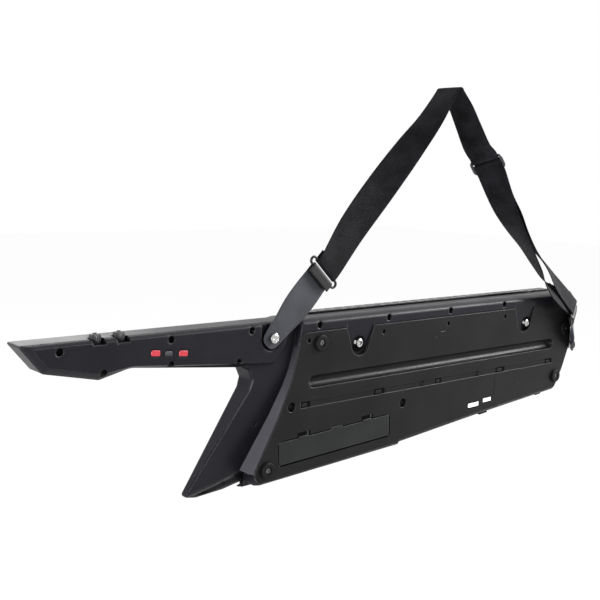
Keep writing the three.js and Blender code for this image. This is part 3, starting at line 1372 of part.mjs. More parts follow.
function strapSlider() {
  const outer = box2([0, 0], SLIDER_WIDTH, SLIDER_HEIGHT, SLIDER_HEIGHT / 4);
  const window = box2([0, 0], WEB_WIDTH + 2 * SLIDE_GAP, SLIDER_HEIGHT - 2 * SLIDER_BAR, SLIDER_BAR / 4);
  const shape = new THREE.Shape(rounded(outer, 3));
  shape.holes.push(new THREE.Path(rounded(window, 2)));
  const frame = new THREE.ExtrudeGeometry(shape, { depth: SLIDER_THICKNESS, bevelEnabled: false });
  frame.translate(0, 0, -SLIDER_THICKNESS / 2);
  const basis = new THREE.Matrix4().makeBasis(sliderAcross, sliderAway, sliderAlong);
  const turn = new THREE.Matrix4().makeRotationX(Math.PI / 2);
  frame.applyMatrix4(basis.multiply(turn).setPosition(sliderCentre));
  const reach = (WEB_WIDTH + SLIDER_WIDTH) / 4;
  const ends = [-reach, reach].map((far) => sliderCentre.clone().addScaledVector(sliderAcross, far));
  return solid(frame).add(rod(...ends, WIRE_RADIUS, SMALL_SIDE_COUNT));
}

// The assembly
add('rear_shell', rearShell(), 'shell');
add('front_shell', frontShell(), 'shell');
add('rear_cover', rearCover(), 'cover');
add('battery_cover', batteryCover(), 'cover');
add('battery_case', batteryCase(), 'grey');
add('battery_cells_upper', cellRow(1), 'cell');
add('battery_cells_lower', cellRow(-1), 'cell');
footShares.forEach((shares, i) => add(`rear_foot_${i + 1}`, foot(spot(...shares)), 'rubber'));
add('key_bed', keyBed(), 'darkMetal');
add('main_board', mainBoard(), 'board');
addKeys();
const neckButtonNames = ['neck_button_upper', 'neck_button_middle', 'neck_button_lower'];
const neckButtonColours = ['red', 'grey', 'red'];
neckButtonShares.forEach((button, i) => add(neckButtonNames[i], neckButton(button), neckButtonColours[i]));
knobSpots.forEach((at, i) => add(`neck_knob_${i + 1}`, neckKnob(at), 'grey'));
add('modulation_bar', modulationBar(), 'grey');
add('ribbon_strip', plateIn(ribbonCentre, RIBBON_LENGTH, RIBBON_WIDTH, NECK_FRONT - RIBBON_THICKNESS,
  RIBBON_THICKNESS), 'black');
add('beam_window', plateIn(beamCentre, BEAM_WIDTH, BEAM_HEIGHT, NECK_FRONT - WINDOW_THICKNESS + SEAT_GAP,
  WINDOW_THICKNESS), 'window');
add('display_window', plateIn(displaySpot, DISPLAY_WIDTH, DISPLAY_HEIGHT,
  BODY_FRONT - WINDOW_THICKNESS + SEAT_GAP, WINDOW_THICKNESS), 'window');
add('value_knob', valueKnob(), 'black');
panelButtonSpots.forEach((at, i) => add(panelButtonNames[i], panelButton(at), 'grey'));
add('tone_button_strip', toneButtonStrip(), 'grey');
add('jack_panel', jackPanel(), 'black');
add('power_switch', powerSwitch(), 'grey');
add('left_strap_pin', strapPin(leftPin, rearward), 'metal');
add('right_strap_pin', strapPin(rightPin, chamferOut), 'metal');
const leftTab = leatherTab(leftTabStart, leftSquare, leftRing, leftAcross, rearward, 0);
const rightTabAcross = square(chamferAlong, rightPull);
const rightTab = leatherTab(rightTabStart, rightTabAcross, rightRing, rightAcross, chamferOut, TAB_BOW);
add('left_strap_tab', leftTab, 'leather');
add('right_strap_tab', rightTab, 'leather');
add('left_strap_ring', wireRing(leftRing, leftPull, leftSquare), 'darkMetal');
add('right_strap_ring', wireRing(rightRing, rightPull, rightSquare), 'darkMetal');
add('strap_webbing', webbing(), 'webbing');
add('strap_slider', strapSlider(), 'darkMetal');

model.position.copy(fold).negate();

export default part;
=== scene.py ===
import math

import bmesh
import bpy
import numpy as np
from mathutils import Matrix, Vector


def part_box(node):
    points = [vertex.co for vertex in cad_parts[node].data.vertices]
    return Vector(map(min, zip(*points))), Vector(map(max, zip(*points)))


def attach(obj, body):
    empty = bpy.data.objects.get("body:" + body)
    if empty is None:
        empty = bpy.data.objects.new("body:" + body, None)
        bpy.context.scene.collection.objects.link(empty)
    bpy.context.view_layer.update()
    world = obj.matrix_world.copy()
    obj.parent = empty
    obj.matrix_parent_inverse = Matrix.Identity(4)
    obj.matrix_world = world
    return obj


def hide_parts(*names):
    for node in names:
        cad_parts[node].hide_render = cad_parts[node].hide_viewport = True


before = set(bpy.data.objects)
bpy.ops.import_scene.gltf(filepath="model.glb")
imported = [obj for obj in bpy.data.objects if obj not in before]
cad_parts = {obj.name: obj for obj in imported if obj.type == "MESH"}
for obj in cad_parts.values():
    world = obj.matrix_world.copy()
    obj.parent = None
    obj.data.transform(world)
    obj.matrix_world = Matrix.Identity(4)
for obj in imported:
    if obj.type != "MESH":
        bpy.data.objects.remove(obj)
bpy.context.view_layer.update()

# Camera. It looks at the rear of the hanging instrument from beyond the neck's end,
# a little from above, with its picture plane leaned as the photograph's is.
CAMERA_PLACE = Vector((-1.236158, -1.073720, -0.144734))
CAMERA_RIGHT = Vector((0.76289, -0.64578, 0.03103))
CAMERA_UP = Vector((0.06554, 0.12499, 0.98999))
camera_data = bpy.data.cameras.new("camera")
camera_data.lens = 56.197
camera_data.sensor_width = 36
camera = bpy.data.objects.new("camera", camera_data)
bpy.context.scene.collection.objects.link(camera)
camera_back = CAMERA_RIGHT.cross(CAMERA_UP)
camera_axes = Matrix((CAMERA_RIGHT, CAMERA_UP, camera_back)).transposed().to_4x4()
camera.matrix_world = Matrix.Translation(CAMERA_PLACE) @ camera_axes
bpy.context.scene.camera = camera
bpy.context.scene.view_settings.view_transform = "Standard"

# Studio. A white room with large soft lamps over the left, the top and the right of the object,
# and a pale floor well below it that still takes the object's shadow.
FLOOR_LEVEL = -0.95
FLOOR_HALF = 9
ROOM_LIGHT = 0.38
FLOOR_GLOW = 0.97
FLOOR_COLOUR = (0.9, 0.9, 0.9, 1)
WHITE = (1, 1, 1, 1)


def maths(tree, operation, *values):
    """A maths node on numbers or sockets."""
    node = tree.nodes.new("ShaderNodeMath")
    node.operation = operation
    for socket, value in zip(node.inputs, values):
        if isinstance(value, (int, float)):
            socket.default_value = value
        else:
            tree.links.new(value, socket)
    return node.outputs[0]


def seen_directly(tree):
    """One where the camera, a reflection or clear glass looks, and nothing for other rays."""
    path = tree.nodes.new("ShaderNodeLightPath")
    camera_or_gloss = maths(tree, "MAXIMUM", path.outputs["Is Camera Ray"], path.outputs["Is Glossy Ray"])
    return maths(tree, "MAXIMUM", camera_or_gloss, path.outputs["Is Transmission Ray"])


room = bpy.data.worlds.new("room")
bpy.context.scene.world = room
room.use_nodes = True
room_tree = room.node_tree
room_light = room_tree.nodes["Background"]
room_light.inputs["Color"].default_value = WHITE
room_level = room_tree.nodes.new("ShaderNodeMapRange")
room_level.inputs["To Min"].default_value = ROOM_LIGHT
room_level.inputs["To Max"].default_value = 1
room_tree.links.new(seen_directly(room_tree), room_level.inputs["Value"])
room_tree.links.new(room_level.outputs["Result"], room_light.inputs["Strength"])


def soft_lamp(name, place, aim, size, power):
    """A square lamp at a place in metres, turned towards its aim; power is in watts."""
    lamp_data = bpy.data.lights.new(name, "AREA")
    lamp_data.size = size
    lamp_data.energy = power
    lamp = bpy.data.objects.new(name, lamp_data)
    bpy.context.scene.collection.objects.link(lamp)
    turn = (Vector(aim) - Vector(place)).to_track_quat("-Z", "Y")
    lamp.matrix_world = Matrix.Translation(Vector(place)) @ turn.to_matrix().to_4x4()


soft_lamp("lamp_left", (-3, -0.7, -0.2), (-0.3, 0, -0.5), 1.4, 90)
soft_lamp("lamp_top", (1.75, -0.5, 1.05), (0.1, 0, -0.45), 1.1, 90)
soft_lamp("lamp_right", (2.4, -1.5, 0.9), (0.1, 0, -0.45), 0.9, 105)
soft_lamp("lamp_front", (0.2, 3, 1.2), (0, 0, -0.4), 2, 40)

floor_mesh = bpy.data.meshes.new("floor")
floor_corners = [
    (x * FLOOR_HALF, y * FLOOR_HALF, FLOOR_LEVEL) for x, y in [(-1, -1), (1, -1), (1, 1), (-1, 1)]]
floor_mesh.from_pydata(floor_corners, [], [(0, 1, 2, 3)])
floor = bpy.data.objects.new("floor", floor_mesh)
bpy.context.scene.collection.objects.link(floor)
floor_material = bpy.data.materials.new("pale_floor")
floor_material.use_nodes = True
floor_tree = floor_material.node_tree
floor_tree.nodes.clear()
floor_out = floor_tree.nodes.new("ShaderNodeOutputMaterial")
floor_mix = floor_tree.nodes.new("ShaderNodeMixShader")
floor_paint = floor_tree.nodes.new("ShaderNodeBsdfDiffuse")
floor_paint.inputs["Color"].default_value = FLOOR_COLOUR
floor_shine = floor_tree.nodes.new("ShaderNodeEmission")
floor_shine.inputs["Color"].default_value = WHITE
floor_share = maths(floor_tree, "MULTIPLY", seen_directly(floor_tree), FLOOR_GLOW)
floor_tree.links.new(floor_share, floor_mix.inputs[0])
floor_tree.links.new(floor_paint.outputs[0], floor_mix.inputs[1])
floor_tree.links.new(floor_shine.outputs[0], floor_mix.inputs[2])
floor_tree.links.new(floor_mix.outputs[0], floor_out.inputs["Surface"])
floor_mesh.materials.append(floor_material)

# Housing mouldings. The rear and front shells are injection moulded in black plastic with a fine
# spark-eroded grain, and screwed together along the parting line. Their edges are softly rounded.
HOUSING_COLOUR = "#121217"
HOUSING_ROUGHNESS = 0.35
HOUSING_GLOSS = 0.13
HOUSING_GRAIN_DEPTH = 0.00003
HOUSING_EDGE = 0.005
KEY_SIDE_GAP = 0.0003
TOP_ABOVE_BED = 0.0033
CORNER = Vector((
    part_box("naturals_outer_1")[0].x - KEY_SIDE_GAP,
    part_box("rear_cover")[0].y,
    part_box("key_bed")[1].z + TOP_ABOVE_BED,
))


def place(x, y, z):
    """A point given in millimetres from the keys' left end, the cover's face and the top edge."""
    return CORNER + Vector((x, y, z)) / 1000


def paint(text):
    """A screen colour such as #1c1c22 as the shader's own linear colour."""
    parts = [int(text[i:i + 2], 16) / 255 for i in (1, 3, 5)]
    return (*[p / 12.92 if p <= 0.04045 else ((p + 0.055) / 1.055) ** 2.4 for p in parts], 1)


def new_group(name, inputs, outputs):
    """A shader node group; inputs are (name, value) numbers and outputs are names of masks."""
    tree = bpy.data.node_groups.new(name, "ShaderNodeTree")
    for label, value in inputs:
        socket = tree.interface.new_socket(label, in_out="INPUT", socket_type="NodeSocketFloat")
        socket.default_value = value
    for label in outputs:
        tree.interface.new_socket(label, in_out="OUTPUT", socket_type="NodeSocketFloat")
    return tree, tree.nodes.new("NodeGroupInput"), tree.nodes.new("NodeGroupOutput")


def ranged(tree, value, from_low, from_high, to_low, to_high):
    """A value moved from one range to another, and held inside it."""
    node = tree.nodes.new("ShaderNodeMapRange")
    node.inputs["From Min"].default_value = from_low
    node.inputs["From Max"].default_value = from_high
    node.inputs["To Min"].default_value = to_low
    node.inputs["To Max"].default_value = to_high
    tree.links.new(value, node.inputs["Value"])
    return node.outputs["Result"]


def sized_noise(tree, place_socket, scale, detail):
    """Noise over the object's own space; scale is a number or a socket, in waves per metre."""
    node = tree.nodes.new("ShaderNodeTexNoise")
    node.inputs["Detail"].default_value = detail
    tree.links.new(place_socket, node.inputs["Vector"])
    if isinstance(scale, (int, float)):
        node.inputs["Scale"].default_value = scale
    else:
        tree.links.new(scale, node.inputs["Scale"])
    return node.outputs["Fac"]


def worn_and_lit_edge_mask(tree, radius):
    """One along the upper edges: partly where hands rub, partly a painted highlight where light from above
    falls; radius is a socket in metres.
    """
    rounding = tree.nodes.new("ShaderNodeBevel")
    flat = tree.nodes.new("ShaderNodeNewGeometry")
    agreement = tree.nodes.new("ShaderNodeVectorMath")
    agreement.operation = "DOT_PRODUCT"
    tree.links.new(radius, rounding.inputs["Radius"])
    tree.links.new(rounding.outputs["Normal"], agreement.inputs[0])
    tree.links.new(flat.outputs["True Normal"], agreement.inputs[1])
    upward = tree.nodes.new("ShaderNodeSeparateXYZ")
    tree.links.new(rounding.outputs["Normal"], upward.inputs["Vector"])
    on_edge = ranged(tree, agreement.outputs["Value"], 0.97, 0.85, 0, 1)
    return maths(tree, "MULTIPLY", on_edge, ranged(tree, upward.outputs["Z"], -0.5, 0, 0.1, 1))


def openness(tree, reach):
    """An occlusion mask, one on open faces and less in gaps, holes and corners, which the moulded finishes
    use to paint shade there; reach is in metres.
    """
    hollow = tree.nodes.new("ShaderNodeAmbientOcclusion")
    hollow.samples = 8
    hollow.inputs["Distance"].default_value = reach
    return hollow.outputs["AO"]


FINE_GRAIN = 1400
GAP_REACH = 0.012
SPECK_SCALE = 620
surface_tree, surface_in, surface_out = new_group(
    "moulded_surface", [("Grain", FINE_GRAIN), ("Mottle", 14), ("Edge", 0.0004)],
    ["Height", "Cloud", "Dust", "Rim", "Open"])
surface_open = ranged(surface_tree, openness(surface_tree, GAP_REACH), 0.3, 0.92, 0, 1)
surface_tree.links.new(surface_open, surface_out.inputs["Open"])
surface_tree.links.new(worn_and_lit_edge_mask(surface_tree, surface_in.outputs["Edge"]), surface_out.inputs["Rim"])
surface_place = surface_tree.nodes.new("ShaderNodeTexCoord").outputs["Object"]
surface_grain = sized_noise(surface_tree, surface_place, surface_in.outputs["Grain"], 2)
surface_cloud = sized_noise(surface_tree, surface_place, surface_in.outputs["Mottle"], 5)
surface_specks = sized_noise(surface_tree, surface_place, SPECK_SCALE, 1)
surface_tree.links.new(surface_grain, surface_out.inputs["Height"])
surface_tree.links.new(ranged(surface_tree, surface_cloud, 0.3, 0.7, 0, 1), surface_out.inputs["Cloud"])
surface_tree.links.new(ranged(surface_tree, surface_specks, 0.7, 0.78, 0, 1), surface_out.inputs["Dust"])


def new_finish(name):
    """A material with its Principled shader, ready for its own nodes."""
    material = bpy.data.materials.new(name)
    material.use_nodes = True
    return material, material.node_tree, material.node_tree.nodes["Principled BSDF"]


def blended(tree, mask, first, second):
    """A colour that goes from the first to the second as a mask goes from nothing to one."""
    node = tree.nodes.new("ShaderNodeMix")
    node.data_type = "RGBA"
    tree.links.new(mask, node.inputs["Factor"])
    for socket, colour in ((node.inputs[6], first), (node.inputs[7], second)):
        if isinstance(colour, tuple):
            socket.default_value = colour
        else:
            tree.links.new(colour, socket)
    return node.outputs[2]


def raised(tree, shader, height, depth, edge):
    """Rounds the edges to the eye, then bumps them by a height mask; depth and edge are in metres."""
    rounding = tree.nodes.new("ShaderNodeBevel")
    rounding.inputs["Radius"].default_value = edge
    bump = tree.nodes.new("ShaderNodeBump")
    bump.inputs["Strength"].default_value = 1
    bump.inputs["Distance"].default_value = depth
    tree.links.new(height, bump.inputs["Height"])
    tree.links.new(rounding.outputs["Normal"], bump.inputs["Normal"])
    tree.links.new(bump.outputs["Normal"], shader.inputs["Normal"])


DUST_COLOUR = "#8e8d88"
RIM_WIDTH = 0.0016
RIM_WEAR_AND_HIGHLIGHT = 0.11
RIM_SHARE = 0.8
PAINTED_GAP_SHADE = 0.15
DRY_OPENNESS = 0.33


def moulded(name, colour, roughness, gloss, grain=FINE_GRAIN, depth=0.00006, lighter=1.35, dust=0.05,
            edge=0.0004):
    """Moulded plastic or rubber: cloudy, dusty and grained; paler on upper edges, partly rubbed wear and
    partly painted highlight; darkened in gaps by painted shade, and dry there.
    """
    material, tree, shader = new_finish(name)
    surface = tree.nodes.new("ShaderNodeGroup")
    surface.node_tree = surface_tree
    surface.inputs["Grain"].default_value = grain
    surface.inputs["Edge"].default_value = min(edge, RIM_WIDTH)
    base = paint(colour)
    cloud = (*[min(part * lighter, 1) for part in base[:3]], 1)
    rim = (*[max(part, RIM_WEAR_AND_HIGHLIGHT) for part in base[:3]], 1)
    gap = (*[part * PAINTED_GAP_SHADE for part in base[:3]], 1)
    clouded = blended(tree, surface.outputs["Cloud"], base, cloud)
    dust_share = maths(tree, "MULTIPLY", surface.outputs["Dust"], dust)
    dusty = blended(tree, dust_share, clouded, paint(DUST_COLOUR))
    # Upper edges go paler: partly rubbed wear and partly painted highlight.
    rimmed = blended(tree, maths(tree, "MULTIPLY", surface.outputs["Rim"], RIM_SHARE), dusty, rim)
    # Painted shade: the colour goes towards a near-black share of itself where the occlusion mask finds a
    # gap, hole or corner.
    shaded = blended(tree, surface.outputs["Open"], gap, rimmed)
    tree.links.new(shaded, shader.inputs["Base Color"])
    rough = ranged(tree, surface.outputs["Cloud"], 0, 1, roughness - 0.04, roughness + 0.05)
    dry = ranged(tree, surface.outputs["Open"], 1, DRY_OPENNESS, 0, 1)
    tree.links.new(maths(tree, "MAXIMUM", rough, dry), shader.inputs["Roughness"])
    shader.inputs["Specular IOR Level"].default_value = gloss
    raised(tree, shader, surface.outputs["Height"], depth, edge)
    return material


WELD_DISTANCE = 0.00001


def dress(names, material, angle=34):
    """Gives CAD nodes their finish; faces that meet at less than the angle shade as one surface."""
    for name in names:
        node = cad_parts[name]
        mesh = node.data
        mesh.materials.clear()
        mesh.materials.append(material)
        stored_normals = mesh.attributes.get("custom_normal")
        if stored_normals:
            mesh.attributes.remove(stored_normals)
        mesh.shade_smooth()
        weld = node.modifiers.new("weld", "WELD")
        weld.merge_threshold = WELD_DISTANCE
        split_edges = node.modifiers.new("split_edges", "EDGE_SPLIT")
        split_edges.split_angle = math.radians(angle)
        even_out = node.modifiers.new("even_out", "WEIGHTED_NORMAL")
        even_out.weight = 100


housing_finish, rear_finish = (
    moulded(name, HOUSING_COLOUR, HOUSING_ROUGHNESS, HOUSING_GLOSS, depth=HOUSING_GRAIN_DEPTH,
            edge=HOUSING_EDGE)
    for name in ("housing_plastic", "rear_housing_plastic"))
# Painted light: the left wall of the raised back is coloured a lighter grey, as if lit from the left.
LIT_WALL_COLOUR = "#47464c"
WALL_SPAN = (-130, -62)
WALL_FADE = 0.03


def paint_lit_wall(material):
    """Paints the raised back's left wall, which faces the left lamp, a lighter grey than the rest: painted
    light.
    """
    tree = material.node_tree
    shader = tree.nodes["Principled BSDF"]
    surroundings = tree.nodes.new("ShaderNodeTexCoord")
    facing = tree.nodes.new("ShaderNodeSeparateXYZ")
    tree.links.new(surroundings.outputs["Normal"], facing.inputs["Vector"])
    spot = tree.nodes.new("ShaderNodeSeparateXYZ")
    tree.links.new(surroundings.outputs["Object"], spot.inputs["Vector"])
    near, far = (place(x, 0, 0).x for x in WALL_SPAN)
    masks = [
        ranged(tree, facing.outputs["X"], -0.82, -0.88, 0, 1),
        ranged(tree, facing.outputs["Z"], 0.18, 0.24, 0, 1),
        ranged(tree, spot.outputs["X"], near - WALL_FADE, near, 0, 1),
        ranged(tree, spot.outputs["X"], far + WALL_FADE, far, 0.25, 1)]
    total = masks[0]
    for mask in masks[1:]:
        total = maths(tree, "MULTIPLY", total, mask)
    colour = shader.inputs["Base Color"].links[0].from_socket
    tree.links.new(blended(tree, total, colour, paint(LIT_WALL_COLOUR)), shader.inputs["Base Color"])


paint_lit_wall(rear_finish)
dress(["rear_shell"], rear_finish)
dress(["front_shell"], housing_finish)

# Rear cover. A flat sheet-like moulding in a drier, greyer black, with rolled edges, let into the
# rear shell. The battery cover in it has a coarser, leathery grain, and a dark band of painted shadow
# is drawn on the cover all round it.
COVER_COLOUR = "#111112"
COVER_EDGE = 0.0016
cover_finish = moulded("cover_plastic", COVER_COLOUR, 0.36, 0.12, grain=1000, depth=0.00007, edge=COVER_EDGE)
battery_cover_finish = moulded("battery_cover_plastic", "#191a1a", 0.4, 0.15, grain=520, depth=0.00018,
                               edge=COVER_EDGE)
BATTERY_MIDDLE = (52.4, -198.7)
BATTERY_SIZE = (236.9, 36)
BATTERY_TILT = 0.042
GAP_WIDTH = 2.2
GAP_CORNER = 4


def gap_shadow_outline(tree, centre, size, tilt, radius, width):
    """One on a narrow band just outside a rounded rectangle, for the painted shadow of the gap round a let-in
    piece.
    """
    spot = place(centre[0], 0, centre[1])
    turn = tree.nodes.new("ShaderNodeVectorRotate")
    turn.rotation_type = "Y_AXIS"
    turn.inputs["Center"].default_value = spot
    turn.inputs["Angle"].default_value = tilt
    tree.links.new(tree.nodes.new("ShaderNodeTexCoord").outputs["Object"], turn.inputs["Vector"])
    parts = tree.nodes.new("ShaderNodeSeparateXYZ")
    tree.links.new(turn.outputs["Vector"], parts.inputs["Vector"])
    legs = []
    for axis, middle, length in (("X", spot.x, size[0]), ("Z", spot.z, size[1])):
        away = maths(tree, "ABSOLUTE", maths(tree, "SUBTRACT", parts.outputs[axis], middle))
        past = maths(tree, "SUBTRACT", away, (length / 2 - radius) / 1000)
        legs.append(maths(tree, "MAXIMUM", past, 0))
    squares = [maths(tree, "MULTIPLY", leg, leg) for leg in legs]
    reach = maths(tree, "SQRT", maths(tree, "ADD", *squares))
    outside = maths(tree, "SUBTRACT", reach, radius / 1000)
    near = ranged(tree, outside, width / 1000, width / 1400, 0, 1)
    return maths(tree, "MULTIPLY", near, ranged(tree, outside, -0.0006, -0.0002, 0, 1))


def paint_gap_shadow(material, mask):
    """Paints shadow where the mask is: darkens a finish's colour and gloss there."""
    tree = material.node_tree
    shader = tree.nodes["Principled BSDF"]
    colour = shader.inputs["Base Color"].links[0].from_socket
    gloss = shader.inputs["Specular IOR Level"].default_value
    tree.links.new(blended(tree, mask, colour, (0, 0, 0, 1)), shader.inputs["Base Color"])
    open_share = maths(tree, "SUBTRACT", 1, mask)
    tree.links.new(maths(tree, "MULTIPLY", open_share, gloss), shader.inputs["Specular IOR Level"])


paint_gap_shadow(cover_finish, gap_shadow_outline(
    cover_finish.node_tree, BATTERY_MIDDLE, BATTERY_SIZE, BATTERY_TILT, GAP_CORNER, GAP_WIDTH))
dress(["rear_cover"], cover_finish)
dress(["battery_cover"], battery_cover_finish)


def new_piece(name, points, faces, material, body="instrument"):
    """A piece from points in millimetres; its faces are turned outwards and shaded smooth."""
    mesh = bpy.data.meshes.new(name)
    mesh.from_pydata([place(*point) for point in points], [], faces)
    shell = bmesh.new()
    shell.from_mesh(mesh)
    bmesh.ops.recalc_face_normals(shell, faces=shell.faces)
    shell.to_mesh(mesh)
    shell.free()
    mesh.shade_smooth()
    mesh.materials.append(material)
    piece = bpy.data.objects.new(name, mesh)
    bpy.context.scene.collection.objects.link(piece)
    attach(piece, body)
    return piece


def round_edges(piece, edge, angle=34):
    """Rounds a piece's edges where its faces meet at more than the angle; edge is in millimetres."""
    soften = piece.modifiers.new("soften", "BEVEL")
    soften.width = edge / 1000
    soften.segments = 2
    soften.limit_method = "ANGLE"
    soften.angle_limit = math.radians(angle)
    soften.harden_normals = True


def rounded_corners(width, height, radius, steps=4):
    """A rectangle's outline about its middle, with its corners as short arcs."""
    points = []
    for turn, (i, j) in enumerate([(1, 1), (-1, 1), (-1, -1), (1, -1)]):
        middle = (i * (width / 2 - radius), j * (height / 2 - radius))
        for step in range(steps + 1):
            angle = math.pi / 2 * (turn + step / steps)
            points.append((middle[0] + radius * math.cos(angle), middle[1] + radius * math.sin(angle)))
    return points


def plate(name, centre, size, depths, radius, material, tilt=0, edge=0.3, body="instrument"):
    """A small rounded plate, square to the cover; depths are its two faces' levels below the cover."""
    cos, sin = math.cos(tilt), math.sin(tilt)
    outline = rounded_corners(*size, radius)
    turned_outline = [(centre[0] + a * cos - b * sin, centre[1] + a * sin + b * cos) for a, b in outline]
    count = len(outline)
    points = [(x, depth, z) for depth in depths for x, z in turned_outline]
    faces = [tuple(range(count)), tuple(range(count, 2 * count))]
    faces += [(i, (i + 1) % count, count + (i + 1) % count, count + i) for i in range(count)]
    piece = new_piece(name, points, faces, material, body)
    round_edges(piece, edge)
    return piece


# Cover marks. Snap tabs hold the cover from inside its long slot and show there as small blocks,
# each on a dark plate of painted shade for the opening round it. A raised dash, a narrow step and
# two round gate marks are moulded on its face.
SLOT_MIDDLE = -132.5
SLOT_FLOOR = 1.5
SUNK = 0.3
SNAP_SPANS = [(-26, -6), (133, 158), (246, 253), (283, 299), (396, 402), (451, 478), (605, 626)]
# Painted shade: a near-black matt finish for plates that stand in for the shade in openings and recesses.
painted_shade_finish = moulded("painted_shade_plastic", "#040404", 0.7, 0.03)
snap_finish = moulded("snap_plastic", COVER_COLOUR, 0.4, 0.12)
for number, (left, right) in enumerate(SNAP_SPANS, 1):
    middle = (left + right) / 2
    length = right - left
    plate(f"cover_snap_shadow_{number}", (middle, SLOT_MIDDLE), (length, 9),
          (SLOT_FLOOR + 0.1, SLOT_FLOOR - 0.3), 1, painted_shade_finish)
    plate(f"cover_snap_{number}", (middle - length * 0.12, SLOT_MIDDLE - 0.6), (length * 0.55, 5.4),
          (SLOT_FLOOR, SUNK), 1, snap_finish)
plate("cover_dash", (295.5, -45.5), (12, 1.8), (SUNK, -0.7), 0.8, cover_finish, 0.05)
# A thin upright rib, drawn in the same near-black finish that paints shade in the openings.
plate("cover_rib", (448, -164), (1.6, 32), (SUNK, -0.1), 0.5, painted_shade_finish)
for number, centre in enumerate([(279, -54.5), (521, -167)], 1):
    plate(f"cover_gate_mark_{number}", centre, (5, 5), (SUNK, -0.15), 2.4, housing_finish)

# Lower edge tabs. Two short tongues of the housing stand out below the cover's lower edge,
# where the shells hook into each other. They are drawn in the near-black finish that paints shade
# in the openings.
EDGE_START = (200.3, -230.4)
EDGE_SLOPE = 0.0829
TAB_LEVELS = (7, 11.5)
for number, (left, right) in enumerate([(418, 440), (589, 606)], 1):
    middle = (left + right) / 2
    level = EDGE_START[1] + (middle - EDGE_START[0]) * EDGE_SLOPE
    plate(f"lower_edge_tab_{number}", (middle, level), (right - left, 4), TAB_LEVELS, 1, painted_shade_finish,
          0.083)

# Labels. Two small paper stickers, left blank, stuck on the cover near its lower edge.
label_finish = moulded("label_paper", "#e9e8e4", 0.7, 0.3, grain=2600, depth=0.00002, lighter=1.05, dust=0.02)
LABEL_LEVELS = (0.05, -0.12)
for side, centre, size in (("left", (389.8, -189.7), (29, 7.4)), ("right", (428.6, -185.4), (22.5, 7))):
    plate(f"label_{side}", centre, size, LABEL_LEVELS, 0.4, label_finish, 0.02, 0.05)

# Battery latches. Each tongue of the battery cover carries a raised hook that a finger presses
# down to free the cover. The hooks are moulded with it; behind each lies a dark plate of painted
# shade for its opening.
HOOK_RISE = 19.2
for number, along in enumerate((-70.1, 66.3), 1):
    x = BATTERY_MIDDLE[0] + along - HOOK_RISE * BATTERY_TILT
    z = BATTERY_MIDDLE[1] + along * BATTERY_TILT + HOOK_RISE
    plate(f"battery_hook_shadow_{number}", (x + 1, z + 3.6), (27, 9), (0.2, -0.1), 1, painted_shade_finish,
          BATTERY_TILT, body="battery_cover")
    plate(f"battery_hook_{number}", (x, z), (19, 2.6), (0.6, -0.9), 1, battery_cover_finish,
          BATTERY_TILT, body="battery_cover")
    plate(f"battery_hook_post_{number}", (x + 8, z + 4), (2.4, 8), (0.6, -0.7), 0.8, battery_cover_finish,
          BATTERY_TILT, body="battery_cover")

# Screws. Black pan heads sit deep in the holes along the edges. Two large bright ones stand in the
# lower ends of the cover's flared cuts, each on a dark disc of painted shade, with a plated lug beside it.
SIDES = 56
METAL_GRAIN = 2400
METAL_MOTTLE = 160
TARNISH = 0.72


def metal(name, colour, roughness, brushed=0.00002, edge=0.0003):
    """Bare or plated metal with a faint brushed grain and uneven sheen."""
    material, tree, shader = new_finish(name)
    surface = tree.nodes.new("ShaderNodeGroup")
    surface.node_tree = surface_tree
    surface.inputs["Grain"].default_value = METAL_GRAIN
    surface.inputs["Mottle"].default_value = METAL_MOTTLE
    base = paint(colour)
    darker = (*[part * TARNISH for part in base[:3]], 1)
    tree.links.new(blended(tree, surface.outputs["Cloud"], darker, base), shader.inputs["Base Color"])
    rough = ranged(tree, surface.outputs["Cloud"], 0, 1, roughness - 0.08, roughness + 0.1)
    tree.links.new(rough, shader.inputs["Roughness"])
    shader.inputs["Metallic"].default_value = 1
    raised(tree, shader, surface.outputs["Height"], brushed, edge)
    return material


bright_finish = metal("nickel_plate", "#c4c4c2", 0.26)
black_screw_finish = moulded("blackened_steel", "#08080a", 0.35, 0.2, grain=METAL_GRAIN, depth=0.00001,
                             edge=0.0001)


def across_axis(out):
    """Two directions square to an axis and to each other."""
    out = Vector(out).normalized()
    first = Vector((0, 0, 1)).cross(out)
    if first.length < 0.01:
        first = Vector((1, 0, 0)).cross(out)
    first.normalize()
    return out, first, out.cross(first)


def turned(name, profile, start, out, material, sides=SIDES, flutes=0, depth=0, body="instrument"):
    """A turned piece: a profile of (radius, height) points about an axis, with optional finger flutes."""
    axis, first, second = across_axis(out)
    points = []
    for radius, height in profile:
        fluted = flutes and radius > depth * 4
        for side in range(sides):
            angle = 2 * math.pi * side / sides
            reach = radius - (depth * (0.5 + 0.5 * math.cos(flutes * angle)) if fluted else 0)
            spot = Vector(start) + axis * height
            spot += first * (reach * math.cos(angle)) + second * (reach * math.sin(angle))
            points.append(tuple(spot))
    faces = [tuple(range(sides)), tuple(range((len(profile) - 1) * sides, len(profile) * sides))]
    for ring in range(len(profile) - 1):
        for side in range(sides):
            ahead = (side + 1) % sides
            low, high = ring * sides, (ring + 1) * sides
            faces.append((low + side, low + ahead, high + ahead, high + side))
    piece = new_piece(name, points, faces, material, body)
    round_edges(piece, 0.15, 40)
    return piece


HEAD_RINGS = 16
CROSS_WIDTH = 0.2
CROSS_REACH = 0.66
CROSS_DEPTH = 0.75


